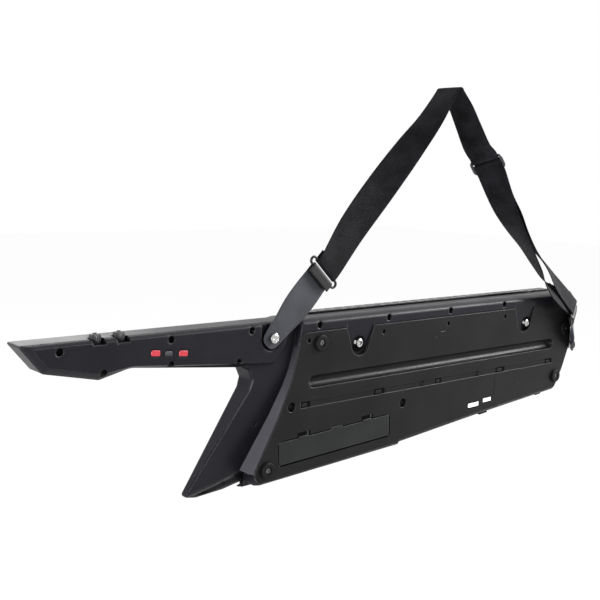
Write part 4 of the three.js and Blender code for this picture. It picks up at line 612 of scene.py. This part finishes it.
def screw_head(name, centre, out, radius, height, material, slot, spin=0.4):
    """A domed screw head with a cross pressed into it; centre is the middle of its seat."""
    axis, first, second = across_axis(out)
    points = [tuple(Vector(centre))]
    for ring in range(HEAD_RINGS + 1):
        share = 1 - ring / HEAD_RINGS
        for side in range(SIDES):
            angle = 2 * math.pi * side / SIDES
            a, b = abs(share * math.cos(angle + spin)), abs(share * math.sin(angle + spin))
            in_arm = min(max((CROSS_WIDTH - min(a, b)) / 0.06, 0), 1)
            in_reach = min(max((CROSS_REACH - max(a, b)) / 0.08, 0), 1)
            rise = height * (1 - 0.45 * share ** 3) - height * CROSS_DEPTH * in_arm * in_reach
            spot = Vector(centre) + axis * rise
            spot += first * (radius * share * math.cos(angle)) + second * (radius * share * math.sin(angle))
            points.append(tuple(spot))
    base = len(points)
    for side in range(SIDES):
        angle = 2 * math.pi * side / SIDES
        spot = Vector(centre) + first * (radius * math.cos(angle)) + second * (radius * math.sin(angle))
        points.append(tuple(spot))
    faces = []
    for ring in range(HEAD_RINGS):
        for side in range(SIDES):
            ahead = (side + 1) % SIDES
            low, high = 1 + ring * SIDES, 1 + (ring + 1) * SIDES
            faces.append((low + side, low + ahead, high + ahead, high + side))
    for side in range(SIDES):
        ahead = (side + 1) % SIDES
        faces.append((base + side, base + ahead, 1 + ahead, 1 + side))
        faces.append((0, base + ahead, base + side))
    piece = new_piece(name, points, faces, material)
    weld = piece.modifiers.new("weld", "WELD")
    weld.merge_threshold = WELD_DISTANCE
    round_edges(piece, 0.12, 50)
    return piece


REARWARD = (0, -1, 0)
SMALL_HEAD = (3.3, 1.8)
LARGE_HEAD = (6.8, 3.6)
edge_screws = [(x, 6.5, -10) for x in (9.02, 161.0, 314.5, 465.5)]
upper_neck_screws = [(-421.7, 10.4, -9.7), (-257.8, 10.4, -8.9), (-119.4, 10.4, -8.3)]
lower_neck_screws = [(-359.7, 10.4, -44), (-256.9, 10.4, -44), (-141.7, 10.4, -53.3)]
horn_screws = [(-97, 25.5, -157), (-142, 37.5, -245.6)]
peg_screws = [(x, 5.8, -32.7) for x in (-12.7, 148.6, 309, 469)]
recess_screws = [(-44, 4.6, -132.7), (202, 4.6, -160)]
neck_screws = upper_neck_screws + lower_neck_screws
housing_screws = edge_screws + neck_screws + horn_screws + peg_screws + recess_screws
for number, spot in enumerate(housing_screws, 1):
    screw_head(f"housing_screw_{number}", spot, REARWARD, *SMALL_HEAD, black_screw_finish, "dark_metal",
               spin=0.5 + number)
CUT_TOP = -20
CUT_BOTTOM = -66.8
CUT_FLOOR = (0.8, 6)
CUT_FACING = (0, -1, (CUT_FLOOR[1] - CUT_FLOOR[0]) / (CUT_BOTTOM - CUT_TOP))
SHADOW_DISC_PROFILE = [(2, 0), (13.5, 0), (13.5, 0.5), (2, 0.5)]
LUG_PROFILE = [(1.4, 0), (2.9, 0), (2.9, 1.2), (1.4, 1.2)]
for number, (x, z) in enumerate([(97, -47), (540, -51)], 1):
    down_the_cut = (z - CUT_TOP) / (CUT_BOTTOM - CUT_TOP)
    floor_depth = CUT_FLOOR[0] + (CUT_FLOOR[1] - CUT_FLOOR[0]) * down_the_cut
    turned(f"large_screw_shadow_{number}", SHADOW_DISC_PROFILE, (x - 1, floor_depth + 0.3, z - 1), CUT_FACING,
           painted_shade_finish)
    screw_head(f"large_screw_{number}", (x, floor_depth, z), REARWARD, *LARGE_HEAD, bright_finish,
               "bright_metal")
    turned(f"lug_{number}", LUG_PROFILE, (x - 10, floor_depth, z + 2), REARWARD, bright_finish)

# Feet. Four black rubber cups on the cover's corners, each held by a steel screw that shows grey
# at the cup's bottom.
FOOT_SEAT = -2.2
FOOT_HEAD = (4.6, 1.9)
rubber_finish = moulded("foot_rubber", "#0a0a0a", 0.6, 0.12, grain=800, depth=0.0001, dust=0.08,
                        edge=0.0001)
feet = [f"rear_foot_{number}" for number in (1, 2, 3, 4)]
dress(feet, rubber_finish)
foot_screw_finish = metal("foot_screw_steel", "#6b6b6e", 0.42)
for number, name in enumerate(feet, 1):
    low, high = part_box(name)
    middle = ((low + high) / 2 - CORNER) * 1000
    screw_head(f"foot_screw_{number}", (middle.x, FOOT_SEAT, middle.z), REARWARD, *FOOT_HEAD,
               foot_screw_finish, "dark_metal")

# Neck controls. Two red push buttons with a dark one between them, two ribbed knobs standing on
# the top edge, a long bar that tilts, a touch ribbon and a beam window on the front.
red_finish = moulded("red_button_plastic", "#9e1a28", 0.34, 0.6, grain=900, depth=0.00003, lighter=1.25,
                     dust=0.02)
control_finish = moulded("control_plastic", "#26262a", 0.4, 0.5, grain=1200, depth=0.00004)
black_finish = moulded("gloss_black_plastic", "#0c0c0e", 0.18, 0.5, grain=1200, depth=0.00001, dust=0.03)
dress(["neck_button_upper", "neck_button_lower"], red_finish)
dress(["neck_button_middle", "modulation_bar"], control_finish)
dress(["ribbon_strip"], black_finish)
KNOB_PROFILE = [(0.5, 0), (8, 0), (8, 11), (7.4, 12), (6.4, 12.4), (3.2, 12.6), (2.6, 14.1), (0.5, 14.2)]
KNOB_SIDES = 160
for number, x in ((1, -365.2), (2, -330.2)):
    knob = turned(f"ribbed_knob_{number}", KNOB_PROFILE, (x, 20, -5.7), (0, 0, 1), control_finish,
                  sides=KNOB_SIDES, flutes=20, depth=0.9, body=f"neck_knob_{number}")
    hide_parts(f"neck_knob_{number}")


def clear_window(name, colour):
    """Tinted gloss plastic over a dark screen."""
    material = moulded(name, colour, 0.08, 0.6, grain=60, depth=0.000002, lighter=1.2, dust=0.04)
    material.node_tree.nodes["Principled BSDF"].inputs["Coat Weight"].default_value = 0.6
    return material


window_finish = clear_window("tinted_window", "#0b0f12")
dress(["beam_window", "display_window"], window_finish)

# Keys. The naturals are black and the raised keys pale, moulded in acrylic-like plastic, with
# rounded lips that stand over the top edge of the housing.
natural_finish = moulded("natural_key_plastic", "#101013", 0.3, 0.4, grain=700, depth=0.00001, lighter=1.15,
                         edge=0.0014)
sharp_finish = moulded("sharp_key_plastic", "#d8d6cf", 0.3, 0.5, grain=700, depth=0.00001, lighter=1.04,
                       dust=0.02)
key_nodes = [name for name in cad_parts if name.startswith(("key_", "naturals_", "sharps_"))]
key_nodes.remove("key_bed")
dress([name for name in key_nodes if "sharp" not in name], natural_finish)
dress([name for name in key_nodes if "sharp" in name], sharp_finish)

# Front panel. Push buttons with a soft matt face, a value knob with ribs and a display window
# stand in a row below the keys.
dress(["octave_down_button", "octave_up_button", "shift_button", "write_button", "tone_button_strip"],
      control_finish)
VALUE_FACE = 62
VALUE_PROFILE = [
    (0.5, -8), (3.3, -8), (3.3, 0.3), (10, 0.3), (10, 1.6), (9.4, 11.4), (8.6, 12.7), (7.6, 13), (0.5, 12.6)]
value_low, value_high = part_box("value_knob")
value_middle = ((value_low + value_high) / 2 - CORNER) * 1000
value_knob = turned("ribbed_value_knob", VALUE_PROFILE, (value_middle.x, VALUE_FACE, value_middle.z),
                    (0, 1, 0), control_finish, sides=KNOB_SIDES, flutes=24, depth=0.8,
                    body="value_knob")
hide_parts("value_knob")

# Inside. The sheet steel key bed, the green board with its chips, the grey battery case and its
# cells are seen only through gaps and when the battery cover is open.
steel_finish = metal("key_bed_steel", "#8c8f92", 0.45)
dress(["key_bed"], steel_finish)
board_finish = moulded("circuit_board", "#1d5b36", 0.4, 0.5, grain=900, depth=0.00004)
dress(["main_board"], board_finish)
case_finish = moulded("battery_case_plastic", "#242427", 0.55, 0.4)
dress(["battery_case"], case_finish)
cell_finish = metal("cell_jacket", "#a9abae", 0.34)
dress(["battery_cells_upper", "battery_cells_lower"], cell_finish)

# Jack panel. A black block let into the lower wall; each socket has a metal collar, and a small
# slide switch stands at the end of the row.
JACK_MIDDLE = Vector((387.2, 49.24, -217.48))
JACK_ANGLE = 0.0829
JACK_LENGTH = 190
dress(["jack_panel"], black_finish)
dress(["power_switch"], control_finish)
jack_along = Vector((math.cos(JACK_ANGLE), 0, math.sin(JACK_ANGLE)))
jack_out = Vector((math.sin(JACK_ANGLE), 0, -math.cos(JACK_ANGLE)))
SOCKETS = [(-0.42, 6.6), (-0.3, 6.6), (-0.17, 3.3), (-0.07, 3.3), (0.05, 3.3), (0.15, 3.3), (0.26, 2.8)]
COLLAR_STEPS = [(0, -1.5), (0.2, -1.5), (1.6, 0.05), (1.6, 0.7), (0.9, 1), (0, 1)]
for number, (share, radius) in enumerate(SOCKETS, 1):
    middle = JACK_MIDDLE + jack_along * (share * JACK_LENGTH)
    profile = [(radius + wider, height) for wider, height in COLLAR_STEPS]
    collar = turned(f"socket_collar_{number}", profile, middle, jack_out, bright_finish)
    collar.modifiers.clear()

# Strap pins. Turned and plated buttons screwed into the neck and the right end, each with a
# domed, cross-slotted head that holds the strap's leather end.
LEFT_PIN = Vector((-81.829, 9, -22.506))
RIGHT_PIN = Vector((690.787, 7.4, -107.999))
RIGHT_PIN_OUT = Vector((0.7251, -0.6886, 0))
PIN_REACH = 12
PIN_HEAD = (7.5, 4.2)
PIN_HEAD_SINK = 2.8
pin_finish = metal("pin_nickel", "#c9c9c8", 0.3)
dress(["left_strap_pin", "right_strap_pin"], pin_finish)
for name, pin, out in (("left", LEFT_PIN, Vector(REARWARD)), ("right", RIGHT_PIN, RIGHT_PIN_OUT)):
    seat = pin + out * (PIN_REACH - PIN_HEAD_SINK)
    finish = bright_finish if name == "left" else black_screw_finish
    screw_head(f"{name}_pin_head", seat, out, *PIN_HEAD, finish, "bright_metal", spin=0.2)

# Leather tabs. Each is a strap of coated leather, 50 mm wide at the ring and narrowing to a round
# end over its pin; it goes round the ring's lower bar and is hemmed back. Its two rows of stitches are
# not drawn.
WEB_WIDTH = 50
LEATHER_THICKNESS = 2.6
LEATHER_COLOUR = "#222329"
RUBBED_COLOUR = "#34353b"
HEM_COLOUR = "#0b0b0e"
PEBBLE_SCALE = 900
CREASE_SCALE = 60
RUB_SCALE = 16
LEATHER_GRAIN_DEPTH = 0.00008
HEM_LENGTH = 19
WIRE_RADIUS = 2
RING_DEPTH = 11
STRAP_RISE = 393
STRAP_LEVEL = 12
SEAT_GAP = 0.3
QUARTER = math.pi / 2


def strap_point(along, level, rise):
    """A place on the strap, as shares of the way from pin to pin, of its level and of its rise."""
    x = LEFT_PIN.x + along * (RIGHT_PIN.x - LEFT_PIN.x)
    return Vector((x, level * STRAP_LEVEL, LEFT_PIN.z + rise * STRAP_RISE))


def square(across, along):
    """The part of one direction that is square to another."""
    return (across - along * across.dot(along)).normalized()


def wrap(centre, along, across, radius, first, last, steps=10):
    """Stations round a bar: angle 0 points along, and it turns towards the face that looks away."""
    away = along.cross(across).normalized()
    stations = []
    for step in range(steps + 1):
        angle = first + (last - first) * step / steps
        spot = centre + along * (radius * math.cos(angle)) + away * (radius * math.sin(angle))
        stations.append((spot, across, WEB_WIDTH / 2))
    return stations


def smooth_route(stations, step):
    """A smooth curve through stations of (centre, across, half width), with a point every step or so."""
    rows = np.array([[*centre, *across, half] for centre, across, half in stations])
    ends = [2 * rows[0] - rows[1], 2 * rows[-1] - rows[-2]]
    rows = np.vstack([ends[0], rows, ends[1]])
    gaps = np.maximum(np.linalg.norm(np.diff(rows[:, :3], axis=0), axis=1), 1e-6) ** 0.5
    made = []
    for i in range(1, len(rows) - 2):
        before, start, end, after = rows[i - 1:i + 3]
        one, two, three = gaps[i - 1:i + 2]
        leave = ((start - before) / one - (end - before) / (one + two) + (end - start) / two) * two
        arrive = ((end - start) / two - (after - start) / (two + three) + (after - end) / three) * two
        pieces = max(math.ceil(two ** 2 / step), 1)
        for piece in range(pieces + (i == len(rows) - 3)):
            t = piece / pieces
            spot = start + leave * t + (3 * (end - start) - 2 * leave - arrive) * t ** 2
            made.append(spot + (2 * (start - end) + leave + arrive) * t ** 3)
    return np.array(made)


def strip_section(steps):
    """A strap's section as (across, through) shares, flat with rounded edges."""
    flat = [(-1 + 2 * i / steps) * 0.965 for i in range(steps + 1)]
    top = [(a, 0.5) for a in flat]
    right = [(0.99, 0.28), (1, 0), (0.99, -0.28)]
    return top + right + [(-a, -b) for a, b in top + right]


def strip_piece(name, route, thickness, material, node, steps=10, ripple=0):
    """A closed strip along a route, with a map for its weave: across and along, in metres."""
    section = strip_section(steps)
    size = len(section)
    centres = route[:, :3]
    lengths = np.concatenate([[0], np.cumsum(np.linalg.norm(np.diff(centres, axis=0), axis=1))])
    points = []
    for i, row in enumerate(route):
        along = Vector(centres[min(i + 1, len(route) - 1)] - centres[max(i - 1, 0)]).normalized()
        across = square(Vector(row[3:6]), along)
        normal = along.cross(across)
        for a, b in section:
            lift = ripple * math.sin(lengths[i] / 31) * (a ** 2 - 0.4)
            spot = Vector(row[:3]) + across * (a * row[6]) + normal * (b * thickness + lift)
            points.append(tuple(spot))
    faces = []
    for ring in range(len(route) - 1):
        for i in range(size):
            ahead = (i + 1) % size
            low, high = ring * size, (ring + 1) * size
            faces.append((low + i, low + ahead, high + ahead, high + i))
    last = (len(route) - 1) * size
    faces += [tuple(range(size)), tuple(range(last, last + size))]
    piece = new_piece(name, points, faces, material)
    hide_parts(node)
    mapping = piece.data.uv_layers.new(name="strip")
    for face in piece.data.polygons:
        for corner in face.loop_indices:
            vertex = piece.data.loops[corner].vertex_index
            ring, i = divmod(vertex, size)
            mapping.data[corner].uv = (section[i][0] * WEB_WIDTH / 2000, lengths[ring] / 1000)
    return piece, lengths[-1]


def leather(name, colour, ring, pull):
    """Coated leather: wrinkled pebbles, a soft sheen, paler rubbed places and a black hem at the ring."""
    material, tree, shader = new_finish(name)
    spot = tree.nodes.new("ShaderNodeTexCoord").outputs["Object"]
    pebbles = tree.nodes.new("ShaderNodeTexVoronoi")
    pebbles.inputs["Scale"].default_value = PEBBLE_SCALE
    tree.links.new(spot, pebbles.inputs["Vector"])
    creases = sized_noise(tree, spot, CREASE_SCALE, 6)
    rubbed = ranged(tree, sized_noise(tree, spot, RUB_SCALE, 4), 0.42, 0.68, 0, 1)
    worn = blended(tree, rubbed, paint(colour), paint(RUBBED_COLOUR))
    along = tree.nodes.new("ShaderNodeVectorMath")
    along.operation = "DOT_PRODUCT"
    along.inputs[1].default_value = pull
    tree.links.new(spot, along.inputs[0])
    hem_start = place(*(ring - pull * HEM_LENGTH)).dot(pull)
    hem = ranged(tree, along.outputs["Value"], hem_start - 0.0006, hem_start, 0, 1)
    tree.links.new(blended(tree, hem, worn, paint(HEM_COLOUR)), shader.inputs["Base Color"])
    tree.links.new(ranged(tree, rubbed, 0, 1, 0.6, 0.5), shader.inputs["Roughness"])
    shader.inputs["Specular IOR Level"].default_value = 0.4
    grain = maths(tree, "ADD", maths(tree, "MULTIPLY", pebbles.outputs["Distance"], 0.35), creases)
    raised(tree, shader, grain, LEATHER_GRAIN_DEPTH, 0.0005)
    return material


TAB_SEAT = 5.4
TAB_SHARES = [
    (-0.125, 0.1), (-0.122, 0.24), (-0.108, 0.4), (-0.08, 0.53), (-0.04, 0.62), (0, 0.66), (0.08, 0.7),
    (0.2, 0.78), (0.45, 1), (0.7, 1.04), (0.9, 1)]
left_ring = strap_point(0.117, -0.25, 0.24)
right_ring = strap_point(0.966, -1.3, -0.027)
left_tab_start = LEFT_PIN + Vector(REARWARD) * TAB_SEAT
right_tab_start = RIGHT_PIN + RIGHT_PIN_OUT * TAB_SEAT
left_pull = (left_ring - left_tab_start).normalized()
right_pull = (right_ring - right_tab_start).normalized()
left_square = square(Vector((0.79, 0, -0.61)), left_pull)
right_square = square(Vector((0.621, 0.3, 0.637)), right_pull)
right_tab_square = square(Vector((0.6886, 0.7251, 0)), right_pull)


def leather_tab(name, start, start_across, ring, pull, across, bow):
    """A leather tab from its pin to its ring and round the ring's bar; bow lifts its middle rearward."""
    centre = ring - pull * (RING_DEPTH / 2)
    radius = WIRE_RADIUS + SEAT_GAP + LEATHER_THICKNESS / 2
    end = centre + pull.cross(across).normalized() * radius
    stations = []
    for share, wide in TAB_SHARES:
        within = min(max(share, 0), 1)
        lift = Vector(REARWARD) * (bow * math.sin(math.pi * within) ** 2)
        width = start_across.lerp(across, within).normalized()
        stations.append((start.lerp(end, share) + lift, width, WEB_WIDTH / 2 * wide))
    stations += wrap(centre, pull, across, radius, QUARTER, -QUARTER)
    tail = stations[-1][0]
    hem_steps = (0.6, 1.4, 2.2)
    stations += [(tail - pull * (far * RING_DEPTH / 2), across, WEB_WIDTH / 2) for far in hem_steps]
    finish = leather(f"{name}_finish", LEATHER_COLOUR, ring, pull)
    strip_piece(name, smooth_route(stations, 2.5), LEATHER_THICKNESS, finish,
                name.replace("leather", "strap"), steps=12)


leather_tab("left_leather_tab", left_tab_start, left_square, left_ring, left_pull, left_square, 0)
leather_tab("right_leather_tab", right_tab_start, right_tab_square, right_ring, right_pull, right_square, 5)

# Rings. Each is one loop of steel wire, bent into a long rounded oblong, welded and blackened. It
# joins a leather tab to the webbing.
RING_WIDTH = 56
WIRE_STEPS = 14
ring_finish = moulded("blackened_wire", "#0e0e10", 0.35, 0.3, grain=2400, depth=0.00001)


def wire_ring(name, ring, along, across):
    """One loop of round wire about a middle, its long bars square to the strap's direction."""
    away = along.cross(across).normalized()
    points = []
    for side, start in ((1, 0), (-1, math.pi)):
        for step in range(WIRE_STEPS + 1):
            angle = start - QUARTER + math.pi * step / WIRE_STEPS
            outward = across * math.cos(angle) + along * math.sin(angle)
            middle = ring + across * (side * RING_WIDTH / 2) + outward * (RING_DEPTH / 2)
            for i in range(WIRE_STEPS):
                turn = 2 * math.pi * (i + 0.5) / WIRE_STEPS
                points.append(tuple(middle + outward * (WIRE_RADIUS * math.cos(turn))
                                    + away * (WIRE_RADIUS * math.sin(turn))))
    rings = len(points) // WIRE_STEPS
    faces = []
    for ring_number in range(rings):
        for i in range(WIRE_STEPS):
            low, high = ring_number * WIRE_STEPS, (ring_number + 1) % rings * WIRE_STEPS
            ahead = (i + 1) % WIRE_STEPS
            faces.append((low + i, low + ahead, high + ahead, high + i))
    piece = new_piece(name, points, faces, ring_finish)
    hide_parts(name.replace("wire", "strap"))


wire_ring("left_wire_ring", left_ring, left_pull, left_square)
wire_ring("right_wire_ring", right_ring, right_pull, right_square)

# Webbing. One length of black nylon webbing, sewn round the left ring. It goes over the hanger,
# through the plastic slider, round the right ring and back to the slider's middle bar.
WEB_THICKNESS = 1.6
FOLD_RADIUS = 7
RIB_SCALE = 190
WEFT_SCALE = 150
LINT_COLOUR = "#77767a"
FADED_COLOUR = "#2a2a30"
SLIDER_HEIGHT = 30
SLIDER_THICKNESS = 3
# Each row is a place, as strap_point takes it, and the direction of the webbing's width there.
LEFT_RUN = [
    (0.193, 0, 0.405, 0.72, -0.25, -0.6), (0.276, 0.33, 0.57, 0.55, -0.55, -0.5),
    (0.361, 0.58, 0.735, 0.35, -0.8, -0.35), (0.429, 0.83, 0.865, 0.15, -0.95, -0.15)]
RIGHT_RUN = [
    (0.526, 1, 0.925, 0.08, -0.98, 0.06), (0.553, 0.92, 0.848, 0.15, -0.96, 0.12),
    (0.589, 0.83, 0.75, 0.28, -0.92, 0.2)]
OUTER_RUN = [
    (0.681, 0.7, 0.537, 0.25, -0.95, 0.15), (0.715, 0.5, 0.465, 0.1, -0.99, 0.05),
    (0.75, 0.42, 0.39, -0.12, -0.97, -0.1), (0.795, 0.17, 0.304, -0.33, -0.91, -0.26),
    (0.853, 0, 0.219, -0.45, -0.75, -0.42), (0.907, -0.33, 0.112, -0.6, -0.55, -0.55)]
INNER_RUN = [
    (0.864, -1.2, 0.088, -0.55, -0.65, -0.5), (0.842, 0.33, 0.18, -0.36, -0.85, -0.34),
    (0.796, 0.55, 0.28, -0.28, -0.93, -0.2), (0.742, 0.4, 0.375, -0.1, -0.98, -0.05),
    (0.693, 0.33, 0.48, 0.12, -0.98, 0.1)]


def run(rows):
    """The stations of one hanging length of webbing."""
    return [(strap_point(*row[:3]), Vector(row[3:]).normalized(), WEB_WIDTH / 2) for row in rows]


slider_centre = strap_point(0.627, 0.75, 0.681)
slider_along = (strap_point(0.679, 0.6, 0.533) - strap_point(0.589, 0.83, 0.75)).normalized()
slider_across = square(Vector((0.36, -0.89, 0.27)), slider_along)
slider_away = slider_along.cross(slider_across).normalized()


def slider_point(along, away):
    """A station of the webbing at the slider, in millimetres from the slider's middle."""
    return (slider_centre + slider_along * along + slider_away * away, slider_across, WEB_WIDTH / 2)


def web_stations():
    """The webbing's whole way, from its sewn end at the left ring to the slider's middle bar."""
    radius = WIRE_RADIUS + SEAT_GAP + WEB_THICKNESS / 2
    upper = left_ring + left_pull * (RING_DEPTH / 2)
    first = wrap(upper, left_pull, left_square, radius, QUARTER, 3 * QUARTER)
    sewn_steps = (9, 5, 1.5)
    sewn = [(first[0][0] + left_pull * (far * WIRE_RADIUS), left_square, WEB_WIDTH / 2)
            for far in sewn_steps]
    leave = [(first[-1][0] + left_pull * (5 * WIRE_RADIUS), left_square, WEB_WIDTH / 2)]
    fold = strap_point(0.488, 1, 1) - Vector((0, 0, FOLD_RADIUS))
    swing = QUARTER * 0.75
    over = wrap(fold, Vector((0, 0, 1)), Vector(REARWARD), FOLD_RADIUS, -swing, swing)
    face = SLIDER_THICKNESS / 2 + SEAT_GAP + WEB_THICKNESS / 2
    bar_face = radius + WEB_THICKNESS + SEAT_GAP * 2
    half = SLIDER_HEIGHT / 2
    through = [slider_point(half * share, depth) for share, depth in (
        (-1.3, face), (-0.68, face), (-0.2, -bar_face), (0.2, -bar_face), (0.62, -face), (1.3, -face))]
    lower = right_ring + right_pull * (RING_DEPTH / 2)
    web_pull = square((strap_point(0.892, -0.4, 0.098) - lower).normalized(), right_square)
    bend = wrap(lower, web_pull, -right_square, radius, QUARTER, 3 * QUARTER)
    beside = [(spot + web_pull * (4 * WIRE_RADIUS), across, half_width)
              for spot, across, half_width in (bend[0], bend[-1])]
    last_bar = wrap(slider_centre, slider_along, slider_across, radius, QUARTER, QUARTER * 2.8)
    back = [slider_point(half * 1.3, face), slider_point(half * 0.7, face)]
    return (sewn + first + leave + run(LEFT_RUN) + over + run(RIGHT_RUN) + through + run(OUTER_RUN)
            + [beside[0]] + bend + [beside[1]] + run(INNER_RUN) + back + last_bar)


def wave(tree, mapped, scale, direction):
    """Even ridges across one direction of a map."""
    node = tree.nodes.new("ShaderNodeTexWave")
    node.bands_direction = direction
    node.inputs["Scale"].default_value = scale
    tree.links.new(mapped, node.inputs["Vector"])
    return node.outputs["Fac"]


def woven(name, colour):
    """Nylon webbing: ribs along the strap crossed by the weft, slightly faded, with some lint."""
    material, tree, shader = new_finish(name)
    coordinates = tree.nodes.new("ShaderNodeTexCoord")
    ribs = wave(tree, coordinates.outputs["UV"], RIB_SCALE, "X")
    weft = wave(tree, coordinates.outputs["UV"], WEFT_SCALE, "Y")
    weave = maths(tree, "MULTIPLY", ribs, weft)
    cloud = ranged(tree, sized_noise(tree, coordinates.outputs["Object"], 30, 5), 0.35, 0.65, 0, 1)
    lint = ranged(tree, sized_noise(tree, coordinates.outputs["Object"], 900, 1), 0.7, 0.76, 0, 0.16)
    base = paint(colour)
    thread = blended(tree, weave, (*[part * 0.55 for part in base[:3]], 1), base)
    faded = blended(tree, maths(tree, "MULTIPLY", cloud, 0.3), thread, paint(FADED_COLOUR))
    tree.links.new(blended(tree, lint, faded, paint(LINT_COLOUR)), shader.inputs["Base Color"])
    tree.links.new(ranged(tree, weave, 0, 1, 0.85, 0.62), shader.inputs["Roughness"])
    shader.inputs["Specular IOR Level"].default_value = 0.08
    shader.inputs["Sheen Weight"].default_value = 0.02
    raised(tree, shader, weave, 0.0003, 0.0002)
    return material


web_finish = woven("nylon_webbing", "#08080b")
web_route = smooth_route(web_stations(), 5)
webbing, web_length = strip_piece("woven_strap", web_route, WEB_THICKNESS, web_finish,
                                  "strap_webbing", steps=14, ripple=0.25)
dress(["strap_slider"], control_finish)
